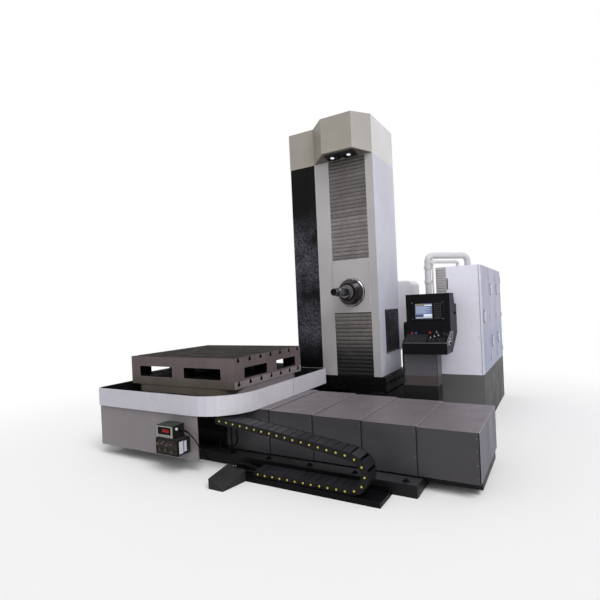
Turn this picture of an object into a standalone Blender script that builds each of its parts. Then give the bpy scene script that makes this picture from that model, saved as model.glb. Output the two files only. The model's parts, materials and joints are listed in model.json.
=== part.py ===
# Horizontal boring mill with a travelling rotary table and a travelling column.
# Metres, +Z up, floor at z = 0. +X runs along the table bed, the spindle points to -Y,
# and x = 0, y = 0 lies on the centreline of the table bed.
import math

import bmesh
import bpy
from mathutils import Matrix, Vector

# Gap between pieces that rest on each other, and running clearance between moving pieces
SEAT = 0.0003
CLEAR = 0.006

# Table bed: foot on the floor, beam on the foot, two ways on the beam
BED_LEFT = -2.85
BED_RIGHT = 1.671
BED_FOOT_LEFT = -2.83
BED_FOOT_RIGHT = 1.19
BED_FOOT_HALF = 0.68
BED_FOOT_HEIGHT = 0.11
BED_BEAM_HALF = 0.42
BED_BEAM_TOP = 0.34
RAIL_HEIGHT = 0.04
RAIL_WIDTH = 0.10
RAIL_CENTRE = 0.33

# Telescopic covers: the innermost is fixed to the bed's end, each next one is a step larger
COVER_COUNT = 5
COVER_SKIN = 0.003
COVER_STEP = 0.008
COVER_OVERLAP = 0.0585
COVER_HALF = 0.517
COVER_TOP = 0.559
COVER_ABOVE_FOOT = 0.022
LIP_LENGTH = 0.020
COVER_GROWTH = (COVER_COUNT - 1) * COVER_STEP
COVER_BOTTOM = BED_FOOT_HEIGHT + COVER_ABOVE_FOOT

# Table saddle, a little larger than the largest cover
SADDLE_LEFT = -2.05
SADDLE_RIGHT = -0.95
SADDLE_BEYOND_COVER = 0.007
SADDLE_ABOVE_COVER = 0.009
SADDLE_SKIRT = 0.30
SADDLE_HALF = COVER_HALF + COVER_GROWTH + SADDLE_BEYOND_COVER
SADDLE_TOP = COVER_TOP + COVER_GROWTH + SADDLE_ABOVE_COVER

# Turning table: plate, riser and hub
TABLE_CENTRE_X = -1.505
TABLE_HALF_X = 0.805
TABLE_HALF_Y = 0.690
TABLE_THICK = 0.078
RISER_THICK = 0.253
HUB_RADIUS = 0.52
HUB_SIDES = 48
SKIRT_DEPTH = 0.088
SKIRT_INSET = 0.006
SKIRT_RADIUS = 0.21
SLOT_COUNT = 7
SLOT_EDGE = 0.075
SLOT_THROAT = 0.028
SLOT_HEAD = 0.046
SLOT_LIP = 0.022
SLOT_DEPTH = 0.050
SLOT_PITCH = 2 * (TABLE_HALF_Y - SLOT_EDGE) / (SLOT_COUNT - 1)
FRONT_WINDOW = 0.545
SIDE_WINDOW = 0.434
WINDOW_FLOOR = 0.016
WINDOW_HEIGHT = 0.122
FRONT_POST = 0.092
SIDE_POST = 0.100
FRONT_SHIFT = 0.020
SIDE_SHIFT = 0.018
SIDE_TRIM = 0.004
WINDOW_RADIUS = 0.012

# Drip tray around the table, and the apron under its rim
TRAY_ROOM_LEFT = 0.220
TRAY_ROOM_RIGHT = 0.200
TRAY_ROOM_SIDE = 0.360
TRAY_RIM = 0.200
TRAY_WALL = 0.022
TRAY_FLOOR = 0.020
TRAY_DROP = 0.007
TRAY_BIG_RADIUS = 0.50
TRAY_SMALL_RADIUS = 0.10
TRAY_LEFT = TABLE_CENTRE_X - TABLE_HALF_X - TRAY_ROOM_LEFT
TRAY_RIGHT = TABLE_CENTRE_X + TABLE_HALF_X + TRAY_ROOM_RIGHT
TRAY_BACK = TABLE_HALF_Y + TRAY_ROOM_SIDE
TRAY_FRONT = -TRAY_BACK
TRAY_LOW = SADDLE_TOP - TRAY_DROP
TRAY_HIGH = TRAY_LOW + TRAY_RIM
TABLE_OVER_RIM = 0.010
TABLE_LOW = TRAY_HIGH + TABLE_OVER_RIM
TABLE_TOP = TABLE_LOW + TABLE_THICK
RISER_TOP = TABLE_TOP + RISER_THICK
APRON_LENGTH = 1.560
APRON_INSET = 0.030
APRON_SKIN = 0.012
APRON_OVER_FOOT = 0.016
APRON_RADIUS = 0.025

# Oil unit on the apron: a wide lower box, and a narrower one with a display on top of it
UNIT_FROM_APRON_END = 0.107
UNIT_WIDTH = 0.306
UNIT_DEPTH = 0.170
UNIT_LOW = 0.215
UNIT_HEIGHT = 0.160
DISPLAY_WIDTH = 0.234
DISPLAY_DEPTH = 0.162
DISPLAY_HEIGHT = 0.130

# Column bed and column
COLUMN_BED_LEFT = -1.05
COLUMN_BED_RIGHT = 0.40
COLUMN_BED_LENGTH = 2.520
COLUMN_BED_TOP = 0.50
COLUMN_BED_WALL = 0.10
COLUMN_BED_SLOPE = 0.03
COLUMN_RAIL_INSET = 0.02
COLUMN_SLIDE_THICK = 0.191
COLUMN_SLIDE_LEFT = 0.03
COLUMN_SLIDE_RIGHT = 0.05
COLUMN_SLIDE_BACK = 0.10
COLUMN_LEFT = -0.969
COLUMN_SPLIT = -0.580
COLUMN_RIGHT = 0.268
COLUMN_FRONT = 1.10
COLUMN_BACK = 1.93
COLUMN_HEIGHT = 2.905
COVER_SHEET = 0.020
CASTING_EDGE = 0.012
CAP_HEIGHT = 0.499
HOOD_LEFT = -0.34
HOOD_RIGHT = 0.09
HOOD_REACH = 0.240
HOOD_RISE = 0.042
OPENING_LEFT = -0.367
OPENING_RIGHT = 0.163
COLUMN_SLIDE_TOP = COLUMN_BED_TOP + COLUMN_SLIDE_THICK
COLUMN_TOP = COLUMN_SLIDE_TOP + COLUMN_HEIGHT
CAP_TOP = COLUMN_TOP + CAP_HEIGHT
HOOD_FRONT = COLUMN_FRONT - HOOD_REACH

# Work lamps under the hood
LAMP_SPREAD = 0.117
LAMP_WIDTH = 0.170
LAMP_LENGTH = 0.140
LAMP_THICK = 0.024
LAMP_BAR = 0.010
LAMP_FROM_COLUMN = 0.050

# Vent panel and drive cover on the column
VENT_FROM_FRONT = 0.220
VENT_LENGTH = 0.510
VENT_LOW = 0.980
VENT_HEIGHT = 0.580
VENT_THICK = 0.014
DRIVE_LEFT = -0.40
DRIVE_RIGHT = 0.47
DRIVE_DEPTH = 0.40
DRIVE_LOW = 0.96
DRIVE_HIGH = 1.96
DRIVE_RADIUS = 0.08
DRIVE_EDGE = 0.02

# Headstock and spindle
SPINDLE_X = -0.100
SPINDLE_Z = 1.810
FACE_BELOW = 0.277
FACE_ABOVE = 0.447
FACE_PROUD = 0.012
BODY_BACK_ROOM = 0.060
BODY_SHORTER = 0.010
FLANGE_RADIUS = 0.185
FLANGE_THICK = 0.043
NOSE_RADIUS = 0.128
NOSE_LENGTH = 0.143
NOSE_SHOULDER = 0.012
NOSE_COLLAR = 0.030
NOSE_TIP = 0.101
SLEEVE_RADIUS = 0.092
SLEEVE_LENGTH = 0.218
BAR_RADIUS = 0.055
BAR_REACH = 0.548
BAR_INSIDE = 0.592
TAPER_MOUTH = 0.035
TAPER_END = 0.0245
TAPER_DEPTH = 0.105
EDGE_BREAK = 0.006
SPINDLE_SIDES = 40
FACE_LOW = SPINDLE_Z - FACE_BELOW
FACE_HIGH = SPINDLE_Z + FACE_ABOVE

# Slatted aprons above and below the headstock
SLAT_PITCH = 0.0725
SLAT_RELIEF = 0.004
SLAT_FLAT = 0.8
SLAT_RECESS = 0.003
SLAT_SIDE_ROOM = 0.001
SLAT_THICK = 0.014

# Operator's pendant on its stand: sloped key shelf, upright monitor, step for the conduit
PENDANT_LEFT = 0.560
PENDANT_WIDTH = 0.550
PENDANT_SHELF = 1.060
PENDANT_FACE = 1.300
PENDANT_BACK = 1.705
PENDANT_LOW = 1.000
PENDANT_LIP = 1.135
PENDANT_SILL = 1.265
PENDANT_STEP = 1.600
PENDANT_TOP = 1.740
PENDANT_HEEL = 1.220
PENDANT_EDGE = 0.008
SWITCH_WIDTH = 0.055
SWITCH_FRONT = 1.340
SWITCH_DEPTH = 0.120
SWITCH_LOW = 1.110
SWITCH_TOP = 1.360
BEZEL_INSET = 0.072
BEZEL_WIDTH = 0.408
BEZEL_LOW = 1.408
BEZEL_HEIGHT = 0.234
BEZEL_THICK = 0.014
BEZEL_EDGE = 0.004
SCREEN_INSET = 0.123
SCREEN_WIDTH = 0.214
SCREEN_LOW = 1.432
SCREEN_HEIGHT = 0.186
SCREEN_THICK = 0.008
SCREEN_SUNK = 0.002
STAND_LEFT = 0.530
STAND_WIDTH = 0.435
STAND_FRONT = 1.160
STAND_DEPTH = 0.220
STAND_EDGE = 0.006

# Electrical cabinet on its plinth
CABINET_LEFT = 0.860
CABINET_RIGHT = 1.420
CABINET_FRONT = 1.720
CABINET_BACK = 3.875
CABINET_HEIGHT = 1.426
PLINTH_TOP = 0.664
CABINET_SHEET = 0.020
DOOR_COUNT = 3
DOOR_THICK = 0.022
DOOR_EDGE = 0.003
HANDLE_INSET = 0.150
HANDLE_WIDTH = 0.032
HANDLE_HEIGHT = 0.130
HANDLE_PROUD = 0.025
HANDLE_LOW = 0.300
HANDLE_MIDDLE = 0.680
HANDLE_HIGH = 1.050
CABINET_TOP = PLINTH_TOP + CABINET_HEIGHT

# Rigid conduit from the pendant's step over to the cabinet's top
CONDUIT_RADIUS = 0.042
CONDUIT_ON_PENDANT = 0.215
CONDUIT_ON_CABINET_X = 0.220
CONDUIT_ON_CABINET_Y = 0.430
CONDUIT_ARCH = 0.165
CONDUIT_BEND = 0.085
CONDUIT_ROOM = 0.010

# Energy chain, its floor tray and the duct that leaves it
CHAIN_FROM_FOOT = 0.080
CHAIN_WIDTH = 0.190
CHAIN_LEFT = -0.750
CHAIN_LOWER_LEFT = -0.300
CHAIN_BEND_X = 0.690
CHAIN_BEND_Z = 0.225
CHAIN_BEND_RADIUS = 0.150
CHAIN_HALF_HEIGHT = 0.036
CHAIN_HIGH = 0.545
CHAIN_PITCH = 0.085
CHAIN_SLOPE = 0.10
CHAIN_BOW = 0.012
NOTCH_DEPTH = 0.005
NOTCH_HALF = 0.006
CHANNEL_LEFT = -0.66
CHANNEL_RIGHT = 0.97
CHANNEL_ROOM = 0.025
CHANNEL_SKIN = 0.006
CHANNEL_LIP = 0.012
CHANNEL_FENCE = 0.050
DUCT_LEFT = -0.555
DUCT_FOOT = 0.170
DUCT_RIDGE = 0.022
DUCT_SHIFT = 0.042
DUCT_LENGTH = 0.285
DUCT_BACK_HIGH = 0.183
DUCT_BACK_LOW = 0.108
DUCT_FRONT_HIGH = 0.107
DUCT_FRONT_LOW = 0.012
DUCT_EAVES = 0.012
DUCT_STEP = 0.118
DUCT_CLEAR = 0.006
CHAIN_BACK = -BED_FOOT_HALF - CHAIN_FROM_FOOT
CHAIN_FRONT = CHAIN_BACK - CHAIN_WIDTH

PART = bpy.data.collections.new("horizontal_boring_mill")
TOOLS = bpy.data.collections.new("cutters")


def clear_scene():
    """Remove every object, so the script also runs in an open file."""
    for thing in list(bpy.data.objects):
        bpy.data.objects.remove(thing, do_unlink=True)
    bpy.context.scene.collection.children.link(PART)
    bpy.context.scene.collection.children.link(TOOLS)


def finish(name, color, roughness, metallic):
    """A plain Principled material."""
    material = bpy.data.materials.new(name)
    material.use_nodes = True
    shader = material.node_tree.nodes["Principled BSDF"]
    shader.inputs["Base Color"].default_value = (*color, 1.0)
    shader.inputs["Roughness"].default_value = roughness
    shader.inputs["Metallic"].default_value = metallic
    return material


def place(mesh, name, material, collection=None):
    """Link a mesh as a named object."""
    thing = bpy.data.objects.new(name, mesh)
    (collection or PART).objects.link(thing)
    if material:
        mesh.materials.append(material)
    else:
        thing.hide_render = True
        thing.display_type = "WIRE"
    return thing


def block(name, low, high, material=None, collection=None):
    """A box between two corners, made from a unit cube."""
    low, high = Vector(low), Vector(high)
    mesh = bpy.data.meshes.new(name)
    shape = bmesh.new()
    bmesh.ops.create_cube(shape, size=1.0)
    bmesh.ops.scale(shape, vec=high - low, verts=shape.verts)
    bmesh.ops.translate(shape, vec=(low + high) / 2, verts=shape.verts)
    shape.to_mesh(mesh)
    shape.free()
    return place(mesh, name, material, collection)


# Each frame maps an outline's own (u, v) and its extrusion w to the part's axes
ALONG_X = Matrix(((0, 0, 1, 0), (1, 0, 0, 0), (0, 1, 0, 0), (0, 0, 0, 1)))
ALONG_Y = Matrix(((1, 0, 0, 0), (0, 0, -1, 0), (0, 1, 0, 0), (0, 0, 0, 1)))
ALONG_Z = Matrix.Identity(4)


def prism(name, outline, start, end, frame, material=None, collection=None):
    """Extrude a closed flat outline between two stations along the frame's axis.

    ALONG_X takes (y, z) points, ALONG_Y takes (x, z) points, ALONG_Z takes (x, y) points.
    """
    curve = bpy.data.curves.new(name, "CURVE")
    curve.dimensions = "2D"
    curve.fill_mode = "BOTH"
    curve.extrude = abs(end - start) / 2
    spline = curve.splines.new("POLY")
    spline.points.add(len(outline) - 1)
    for point, (u, v) in zip(spline.points, outline):
        point.co = (u, v, 0.0, 1.0)
    spline.use_cyclic_u = True
    guide = bpy.data.objects.new(name + "_outline", curve)
    TOOLS.objects.link(guide)
    bpy.context.view_layer.update()
    mesh = bpy.data.meshes.new_from_object(guide.evaluated_get(bpy.context.evaluated_depsgraph_get()))
    bpy.data.objects.remove(guide, do_unlink=True)
    middle = (start + end) / 2
    shift = -middle if frame == ALONG_Y else middle
    shape = bmesh.new()
    shape.from_mesh(mesh)
    bmesh.ops.translate(shape, vec=(0, 0, shift), verts=shape.verts)
    bmesh.ops.remove_doubles(shape, verts=shape.verts, dist=0.00002)
    caps = [face for face in shape.faces if len({round(vert.co.z, 6) for vert in face.verts}) == 1]
    bmesh.ops.delete(shape, geom=caps, context="FACES")
    bmesh.ops.holes_fill(shape, edges=[edge for edge in shape.edges if edge.is_boundary], sides=0)
    bmesh.ops.transform(shape, matrix=frame, verts=shape.verts)
    bmesh.ops.recalc_face_normals(shape, faces=shape.faces)
    shape.to_mesh(mesh)
    shape.free()
    mesh.name = name
    mesh.materials.clear()
    return place(mesh, name, material, collection)


def rounded(corners, steps=6):
    """Points of a closed outline whose corners (x, y, radius) are rounded by arcs."""
    points = []
    count = len(corners)
    for index, (x, y, radius) in enumerate(corners):
        here = Vector((x, y))
        if radius <= 0:
            points.append((x, y))
            continue
        before = (Vector(corners[index - 1][:2]) - here).normalized()
        after = (Vector(corners[(index + 1) % count][:2]) - here).normalized()
        half = before.angle(after) / 2
        reach = radius / math.tan(half)
        centre = here + (before + after).normalized() * radius / math.sin(half)
        first = here + before * reach - centre
        turn = first.angle_signed(here + after * reach - centre)
        for step in range(steps + 1):
            angle = -turn * step / steps
            spoke = Matrix.Rotation(angle, 2) @ first
            points.append((centre.x + spoke.x, centre.y + spoke.y))
    return points


def smooth(thing, angle=30):
    """Shade a round piece smooth and keep the edges sharper than the angle."""
    thing.data.shade_smooth()
    thing.data.set_sharp_from_angle(angle=math.radians(angle))
    return thing


def tapered(name, back, front, start, end, material):
    """Solid between two (x, z) outlines of as many points, one at y = start and one at y = end."""
    mesh = bpy.data.meshes.new(name)
    shape = bmesh.new()
    rings = []
    for y, outline in ((start, back), (end, front)):
        rings.append([shape.verts.new((x, y, z)) for x, z in outline])
    count = len(back)
    for index in range(count):
        following = (index + 1) % count
        shape.faces.new((rings[0][index], rings[0][following], rings[1][following], rings[1][index]))
    for ring in rings:
        shape.faces.new(ring)
    bmesh.ops.triangulate(shape, faces=shape.faces)
    bmesh.ops.recalc_face_normals(shape, faces=shape.faces)
    shape.to_mesh(mesh)
    shape.free()
    return place(mesh, name, material)


def disc(name, radius, low, high, centre, material=None, collection=None):
    """An upright round slab between two heights."""
    mesh = bpy.data.meshes.new(name)
    shape = bmesh.new()
    bmesh.ops.create_cone(shape, cap_ends=True, segments=HUB_SIDES, radius1=radius, radius2=radius,
                          depth=high - low)
    bmesh.ops.translate(shape, vec=(*centre, (low + high) / 2), verts=shape.verts)
    shape.to_mesh(mesh)
    shape.free()
    return smooth(place(mesh, name, material, collection))


def turned(name, profile, centre, material=None, sides=SPINDLE_SIDES, collection=None):
    """Turn a profile of (distance along -Y from centre, radius) about the spindle's direction."""
    mesh = bpy.data.meshes.new(name)
    shape = bmesh.new()
    ring = [shape.verts.new((radius, 0, -along)) for along, radius in profile]
    closing = [] if profile[0][1] == 0 else [(ring[-1], ring[0])]
    for first, second in list(zip(ring, ring[1:])) + closing:
        shape.edges.new((first, second))
    shape.to_mesh(mesh)
    shape.free()
    thing = place(mesh, name, material, collection)
    screw = thing.modifiers.new("Turn", "SCREW")
    screw.axis = "Z"
    screw.steps = sides
    screw.render_steps = sides
    screw.use_merge_vertices = True
    screw.merge_threshold = 0.00001
    bpy.context.view_layer.update()
    solid = bpy.data.meshes.new_from_object(thing.evaluated_get(bpy.context.evaluated_depsgraph_get()))
    thing.modifiers.clear()
    thing.data = solid
    thing.rotation_euler = (-math.pi / 2, 0, 0)
    thing.location = centre
    return smooth(thing)


def cut(target, *cutters):
    """Take the cutters out of the target."""
    for cutter in cutters:
        step = target.modifiers.new("Cut " + cutter.name, "BOOLEAN")
        step.operation = "DIFFERENCE"
        step.object = cutter
    return target


def fuse(target, *others):
    """Join other solids to the target, as in one casting."""
    for other in others:
        step = target.modifiers.new("Join " + other.name, "BOOLEAN")
        step.operation = "UNION"
        step.object = other
    return target


def soften(thing, width, segments=2, angle=50):
    """Round the sharp edges of a piece."""
    bevel = thing.modifiers.new("Edges", "BEVEL")
    bevel.width = width
    bevel.segments = segments
    bevel.limit_method = "ANGLE"
    bevel.angle_limit = math.radians(angle)
    return thing


def table_bed(material):
    """Cast bed of the table: a wide foot, a beam and two ways."""
    half, height = BED_FOOT_HALF, BED_FOOT_HEIGHT
    bed = block("x_bed", (BED_FOOT_LEFT, -half, 0), (BED_FOOT_RIGHT, half, height), material)
    end = BED_RIGHT - COVER_SKIN - SEAT
    start = BED_LEFT + COVER_SKIN + SEAT
    side = BED_BEAM_HALF
    inner = RAIL_CENTRE - RAIL_WIDTH / 2
    outer = RAIL_CENTRE + RAIL_WIDTH / 2
    top = BED_BEAM_TOP
    rail = top + RAIL_HEIGHT
    half = [(side, BED_FOOT_HEIGHT / 2), (side, top), (outer, top), (outer, rail), (inner, rail),
            (inner, top)]
    profile = half + [(-y, z) for y, z in reversed(half)]
    beam = prism("x_bed_beam", profile, start, end, ALONG_X, None, TOOLS)
    return fuse(bed, beam)


def cover_profile(half, top, skin, bottom):
    """Inverted U of sheet, as (y, z) points."""
    within, under = half - skin, top - skin
    outer = [(-half, bottom), (-half, top), (half, top), (half, bottom)]
    inner = [(within, bottom), (within, under), (-within, under), (-within, bottom)]
    return outer + inner


def cover_section(name, level, left, length, lip_right, material):
    """One telescoping section: level 0 is closed at its outer end, the others wipe the next smaller one."""
    half = COVER_HALF + level * COVER_STEP
    top = COVER_TOP + level * COVER_STEP
    right = left + length
    tuck = COVER_SKIN / 10
    section = prism(name, cover_profile(half, top, COVER_SKIN, COVER_BOTTOM), left, right, ALONG_X, material)
    if level == 0:
        start = right - COVER_SKIN if lip_right else left + tuck
        plate = block(name + "_end", (start, tuck - half, COVER_BOTTOM + tuck),
                      (start + COVER_SKIN - tuck, half - tuck, top - tuck), None, TOOLS)
        return fuse(section, plate)
    lip = cover_profile(half - tuck, top - tuck, COVER_STEP - SEAT - tuck, COVER_BOTTOM)
    start = right - LIP_LENGTH if lip_right else left
    return fuse(section, prism(name + "_lip", lip, start, start + LIP_LENGTH, ALONG_X, None, TOOLS))


def bed_covers(material):
    """Nested sections each side of the saddle: extended at the right, packed at the left."""
    span = BED_RIGHT - SADDLE_RIGHT - SEAT
    length = (span + (COVER_COUNT - 1) * COVER_OVERLAP) / COVER_COUNT
    right_pitch = length - COVER_OVERLAP
    left_pitch = (SADDLE_LEFT - SEAT - length - BED_LEFT) / (COVER_COUNT - 1)
    for level in range(COVER_COUNT):
        start = BED_RIGHT - length - level * right_pitch
        cover_section(f"right_cover_{level + 1}", level, start, length, True, material)
        start = BED_LEFT + level * left_pitch
        cover_section(f"left_cover_{level + 1}", level, start, length, False, material)


def table_saddle(material):
    """Saddle that bridges the two ways, with side skirts down over them."""
    low = BED_BEAM_TOP + RAIL_HEIGHT + SEAT
    inner = BED_BEAM_HALF + CLEAR
    half, skirt = SADDLE_HALF, SADDLE_SKIRT
    profile = [(-half, skirt), (-half, SADDLE_TOP), (half, SADDLE_TOP), (half, skirt), (inner, skirt),
               (inner, low), (-inner, low), (-inner, skirt)]
    return prism("saddle", profile, SADDLE_LEFT, SADDLE_RIGHT, ALONG_X, material)


def tray_outline(inset):
    """Plan of the tray: one large front corner, the others small."""
    big = TRAY_BIG_RADIUS - inset
    small = TRAY_SMALL_RADIUS - inset
    return rounded([(TRAY_LEFT + inset, TRAY_FRONT + inset, small),
                    (TRAY_RIGHT - inset, TRAY_FRONT + inset, big),
                    (TRAY_RIGHT - inset, TRAY_BACK - inset, small / 2),
                    (TRAY_LEFT + inset, TRAY_BACK - inset, small)], 8)


def drip_tray(material):
    """Sheet tray around the table, with a round opening for the table's hub."""
    tray = prism("drip_tray", tray_outline(0), TRAY_LOW, TRAY_HIGH, ALONG_Z, material)
    floor = SADDLE_TOP + SEAT + TRAY_FLOOR
    above, below = TRAY_HIGH + TRAY_RIM, TRAY_LOW - TRAY_RIM
    hollow = prism("tray_hollow", tray_outline(TRAY_WALL), floor, above, ALONG_Z, None, TOOLS)
    flange = APRON_INSET + 2 * APRON_SKIN
    under = prism("tray_under", tray_outline(flange), below, SADDLE_TOP + SEAT, ALONG_Z, None, TOOLS)
    hole = disc("tray_round_hole", HUB_RADIUS + CLEAR, below, above, (TABLE_CENTRE_X, 0), None, TOOLS)
    return cut(smooth(tray), smooth(hollow), under, hole)


def tray_apron(material):
    """Apron plate under the rim at the front, with a rounded return at the left end."""
    left = TRAY_LEFT + APRON_INSET
    front = TRAY_FRONT + APRON_INSET
    right = left + APRON_LENGTH
    skin = APRON_SKIN
    back = -BED_FOOT_HALF
    outside = rounded([(left, back, 0), (left, front, APRON_RADIUS), (right, front, 0)])
    inside = rounded([(right, front + skin, 0), (left + skin, front + skin, APRON_RADIUS - skin),
                      (left + skin, back, 0)])
    low = BED_FOOT_HEIGHT + APRON_OVER_FOOT
    return smooth(prism("tray_apron", outside + inside, low, TRAY_LOW - SEAT, ALONG_Z, material))


def slotted_profile(low, top):
    """Cross-section (y, z) of a plate with inverted T slots in its top."""
    points = [(-TABLE_HALF_Y, low), (-TABLE_HALF_Y, top)]
    for index in range(SLOT_COUNT):
        middle = (index - (SLOT_COUNT - 1) / 2) * SLOT_PITCH
        throat, head = SLOT_THROAT / 2, SLOT_HEAD / 2
        shoulder, floor = top - SLOT_LIP, top - SLOT_DEPTH
        left_side = [(-throat, top), (-throat, shoulder), (-head, shoulder), (-head, floor)]
        right_side = [(-offset, z) for offset, z in reversed(left_side)]
        points += [(middle + offset, z) for offset, z in left_side + right_side]
    return points + [(TABLE_HALF_Y, top), (TABLE_HALF_Y, low)]


def rotary_table(material):
    """T-slotted plate, its skirt with corners that clear the tray's rim, and a round hub under it."""
    left, right = TABLE_CENTRE_X - TABLE_HALF_X, TABLE_CENTRE_X + TABLE_HALF_X
    plate = prism("rotary_table", slotted_profile(TABLE_LOW, TABLE_TOP), left, right, ALONG_X, material)
    hub = disc("table_hub", HUB_RADIUS, SADDLE_TOP + SEAT, (TABLE_LOW + TABLE_TOP - SLOT_DEPTH) / 2,
               (TABLE_CENTRE_X, 0), None, TOOLS)
    half = TABLE_HALF_Y - SKIRT_INSET
    inner_left, inner_right = left + SKIRT_INSET, right - SKIRT_INSET
    plan = rounded([(inner_left, -half, SKIRT_RADIUS), (inner_right, -half, SKIRT_RADIUS),
                    (inner_right, half, SKIRT_RADIUS), (inner_left, half, SKIRT_RADIUS)], 8)
    skirt = prism("table_skirt", plan, TABLE_LOW - SKIRT_DEPTH, TABLE_LOW + EDGE_BREAK, ALONG_Z, None, TOOLS)
    return fuse(plate, smooth(skirt), hub)


def window(name, centre, width, trim, frame, start, end):
    """Cutter for one window with rounded corners; trim takes a little off its floor and its lintel."""
    low = TABLE_TOP + WINDOW_FLOOR + trim
    high = TABLE_TOP + WINDOW_FLOOR + WINDOW_HEIGHT - trim
    corners = [(-width / 2, low), (-width / 2, high), (width / 2, high), (width / 2, low)]
    outline = rounded([(centre + offset, z, WINDOW_RADIUS) for offset, z in corners], 3)
    return prism(name, outline, start, end, frame, None, TOOLS)


def riser_block(material):
    """T-slotted riser bolted on the table, with two windows through each side."""
    left, right = TABLE_CENTRE_X - TABLE_HALF_X, TABLE_CENTRE_X + TABLE_HALF_X
    profile = slotted_profile(TABLE_TOP + SEAT, RISER_TOP)
    riser = prism("riser_block", profile, left, right, ALONG_X, material)
    past = WINDOW_HEIGHT
    for index, side in enumerate((-1, 1)):
        middle = TABLE_CENTRE_X - FRONT_SHIFT + side * (FRONT_POST + FRONT_WINDOW / 2)
        cut(riser, window(f"front_window_{index}", middle, FRONT_WINDOW, 0, ALONG_Y,
                          -TABLE_HALF_Y - past, TABLE_HALF_Y + past))
        middle = SIDE_SHIFT + side * (SIDE_POST + SIDE_WINDOW / 2)
        cut(riser, window(f"side_window_{index}", middle, SIDE_WINDOW, SIDE_TRIM, ALONG_X,
                          left - past, right + past))
    return riser


def lubrication_unit(material):
    """Oil unit hung on the apron: a lower box and a display box on top of it."""
    back = TRAY_FRONT + APRON_INSET - SEAT
    right = TRAY_LEFT + APRON_INSET + APRON_LENGTH - UNIT_FROM_APRON_END
    left = right - UNIT_WIDTH
    middle = UNIT_LOW + UNIT_HEIGHT
    unit = block("lubrication_unit", (left, back - UNIT_DEPTH, UNIT_LOW), (right, back, middle), material)
    display = block("display_box", (left + EDGE_BREAK / 2, back - DISPLAY_DEPTH, middle - EDGE_BREAK),
                    (left + DISPLAY_WIDTH, back - EDGE_BREAK / 2, middle + DISPLAY_HEIGHT), None, TOOLS)
    return fuse(unit, display)


def column_bed(material):
    """Cast bed of the column: foot, two walls of beam and two ways."""
    middle = (COLUMN_BED_LEFT + COLUMN_BED_RIGHT) / 2
    half = (COLUMN_BED_RIGHT - COLUMN_BED_LEFT) / 2
    beam = half - COLUMN_BED_WALL
    outer, inner = beam - COLUMN_RAIL_INSET, beam - COLUMN_RAIL_INSET - RAIL_WIDTH
    top = COLUMN_BED_TOP - RAIL_HEIGHT
    ledge = BED_FOOT_HEIGHT + COLUMN_BED_SLOPE
    side = [(half, 0), (half, BED_FOOT_HEIGHT), (beam, ledge), (beam, top), (outer, top),
            (outer, COLUMN_BED_TOP), (inner, COLUMN_BED_TOP), (inner, top)]
    profile = [(middle + x, z) for x, z in side] + [(middle - x, z) for x, z in reversed(side)]
    start = BED_FOOT_HALF + SEAT
    return prism("y_bed", profile, start, start + COLUMN_BED_LENGTH, ALONG_Y, material)


def column_parts(black, light, cap_paint):
    """Column slide, black casting, light sheet cover, and the cap with its hood."""
    block("column_saddle", (COLUMN_LEFT - COLUMN_SLIDE_LEFT, COLUMN_FRONT, COLUMN_BED_TOP + SEAT),
          (COLUMN_RIGHT + COLUMN_SLIDE_RIGHT, COLUMN_BACK + COLUMN_SLIDE_BACK, COLUMN_SLIDE_TOP), black)
    low = COLUMN_SLIDE_TOP + SEAT
    casting = block("column_casting", (COLUMN_LEFT, COLUMN_FRONT, low),
                    (COLUMN_SPLIT - SEAT, COLUMN_BACK, COLUMN_TOP), black)
    soften(casting, CASTING_EDGE)
    sheet = COVER_SHEET
    inner = COLUMN_SPLIT + sheet / 2
    near, far, side = COLUMN_FRONT + sheet, COLUMN_BACK - sheet, COLUMN_RIGHT - sheet
    plan = [(COLUMN_SPLIT, COLUMN_FRONT), (OPENING_LEFT, COLUMN_FRONT), (OPENING_LEFT, near), (inner, near),
            (inner, far), (side, far), (side, near), (OPENING_RIGHT, near), (OPENING_RIGHT, COLUMN_FRONT),
            (COLUMN_RIGHT, COLUMN_FRONT), (COLUMN_RIGHT, COLUMN_BACK), (COLUMN_SPLIT, COLUMN_BACK)]
    prism("column_cover", plan, low, COLUMN_TOP, ALONG_Z, light)

    plan = [(COLUMN_LEFT, COLUMN_FRONT), (COLUMN_SPLIT, COLUMN_FRONT), (HOOD_LEFT, HOOD_FRONT),
            (HOOD_RIGHT, HOOD_FRONT), (COLUMN_RIGHT, COLUMN_FRONT), (COLUMN_RIGHT, COLUMN_BACK),
            (COLUMN_LEFT, COLUMN_BACK)]
    cap = prism("column_cap", plan, COLUMN_TOP + SEAT, CAP_TOP, ALONG_Z, cap_paint)
    near = COLUMN_FRONT - SEAT
    far = HOOD_FRONT - HOOD_REACH
    below = COLUMN_TOP - HOOD_RISE
    soffit = [(near, hood_underside(near)), (far, hood_underside(far)), (far, below), (near, below)]
    left, right = COLUMN_LEFT - HOOD_REACH, COLUMN_RIGHT + HOOD_REACH
    cut(cap, prism("hood_soffit", soffit, left, right, ALONG_X, None, TOOLS))


def hood_underside(y):
    """Height of the hood's sloped underside at a distance y."""
    return COLUMN_TOP + CLEAR + (HOOD_RISE - CLEAR) * (COLUMN_FRONT - y) / HOOD_REACH


def lamp_profile(start, length, gap, thick):
    """Side view (y, z) of a slab that hangs a small gap under the hood's slope."""
    along = Vector((-HOOD_REACH, HOOD_RISE - CLEAR)).normalized()
    down = Vector((-along.y, along.x))
    near = Vector((start, hood_underside(start))) + down * gap
    far = near + along * length
    return [tuple(near), tuple(far), tuple(far + down * thick), tuple(near + down * thick)]


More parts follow.
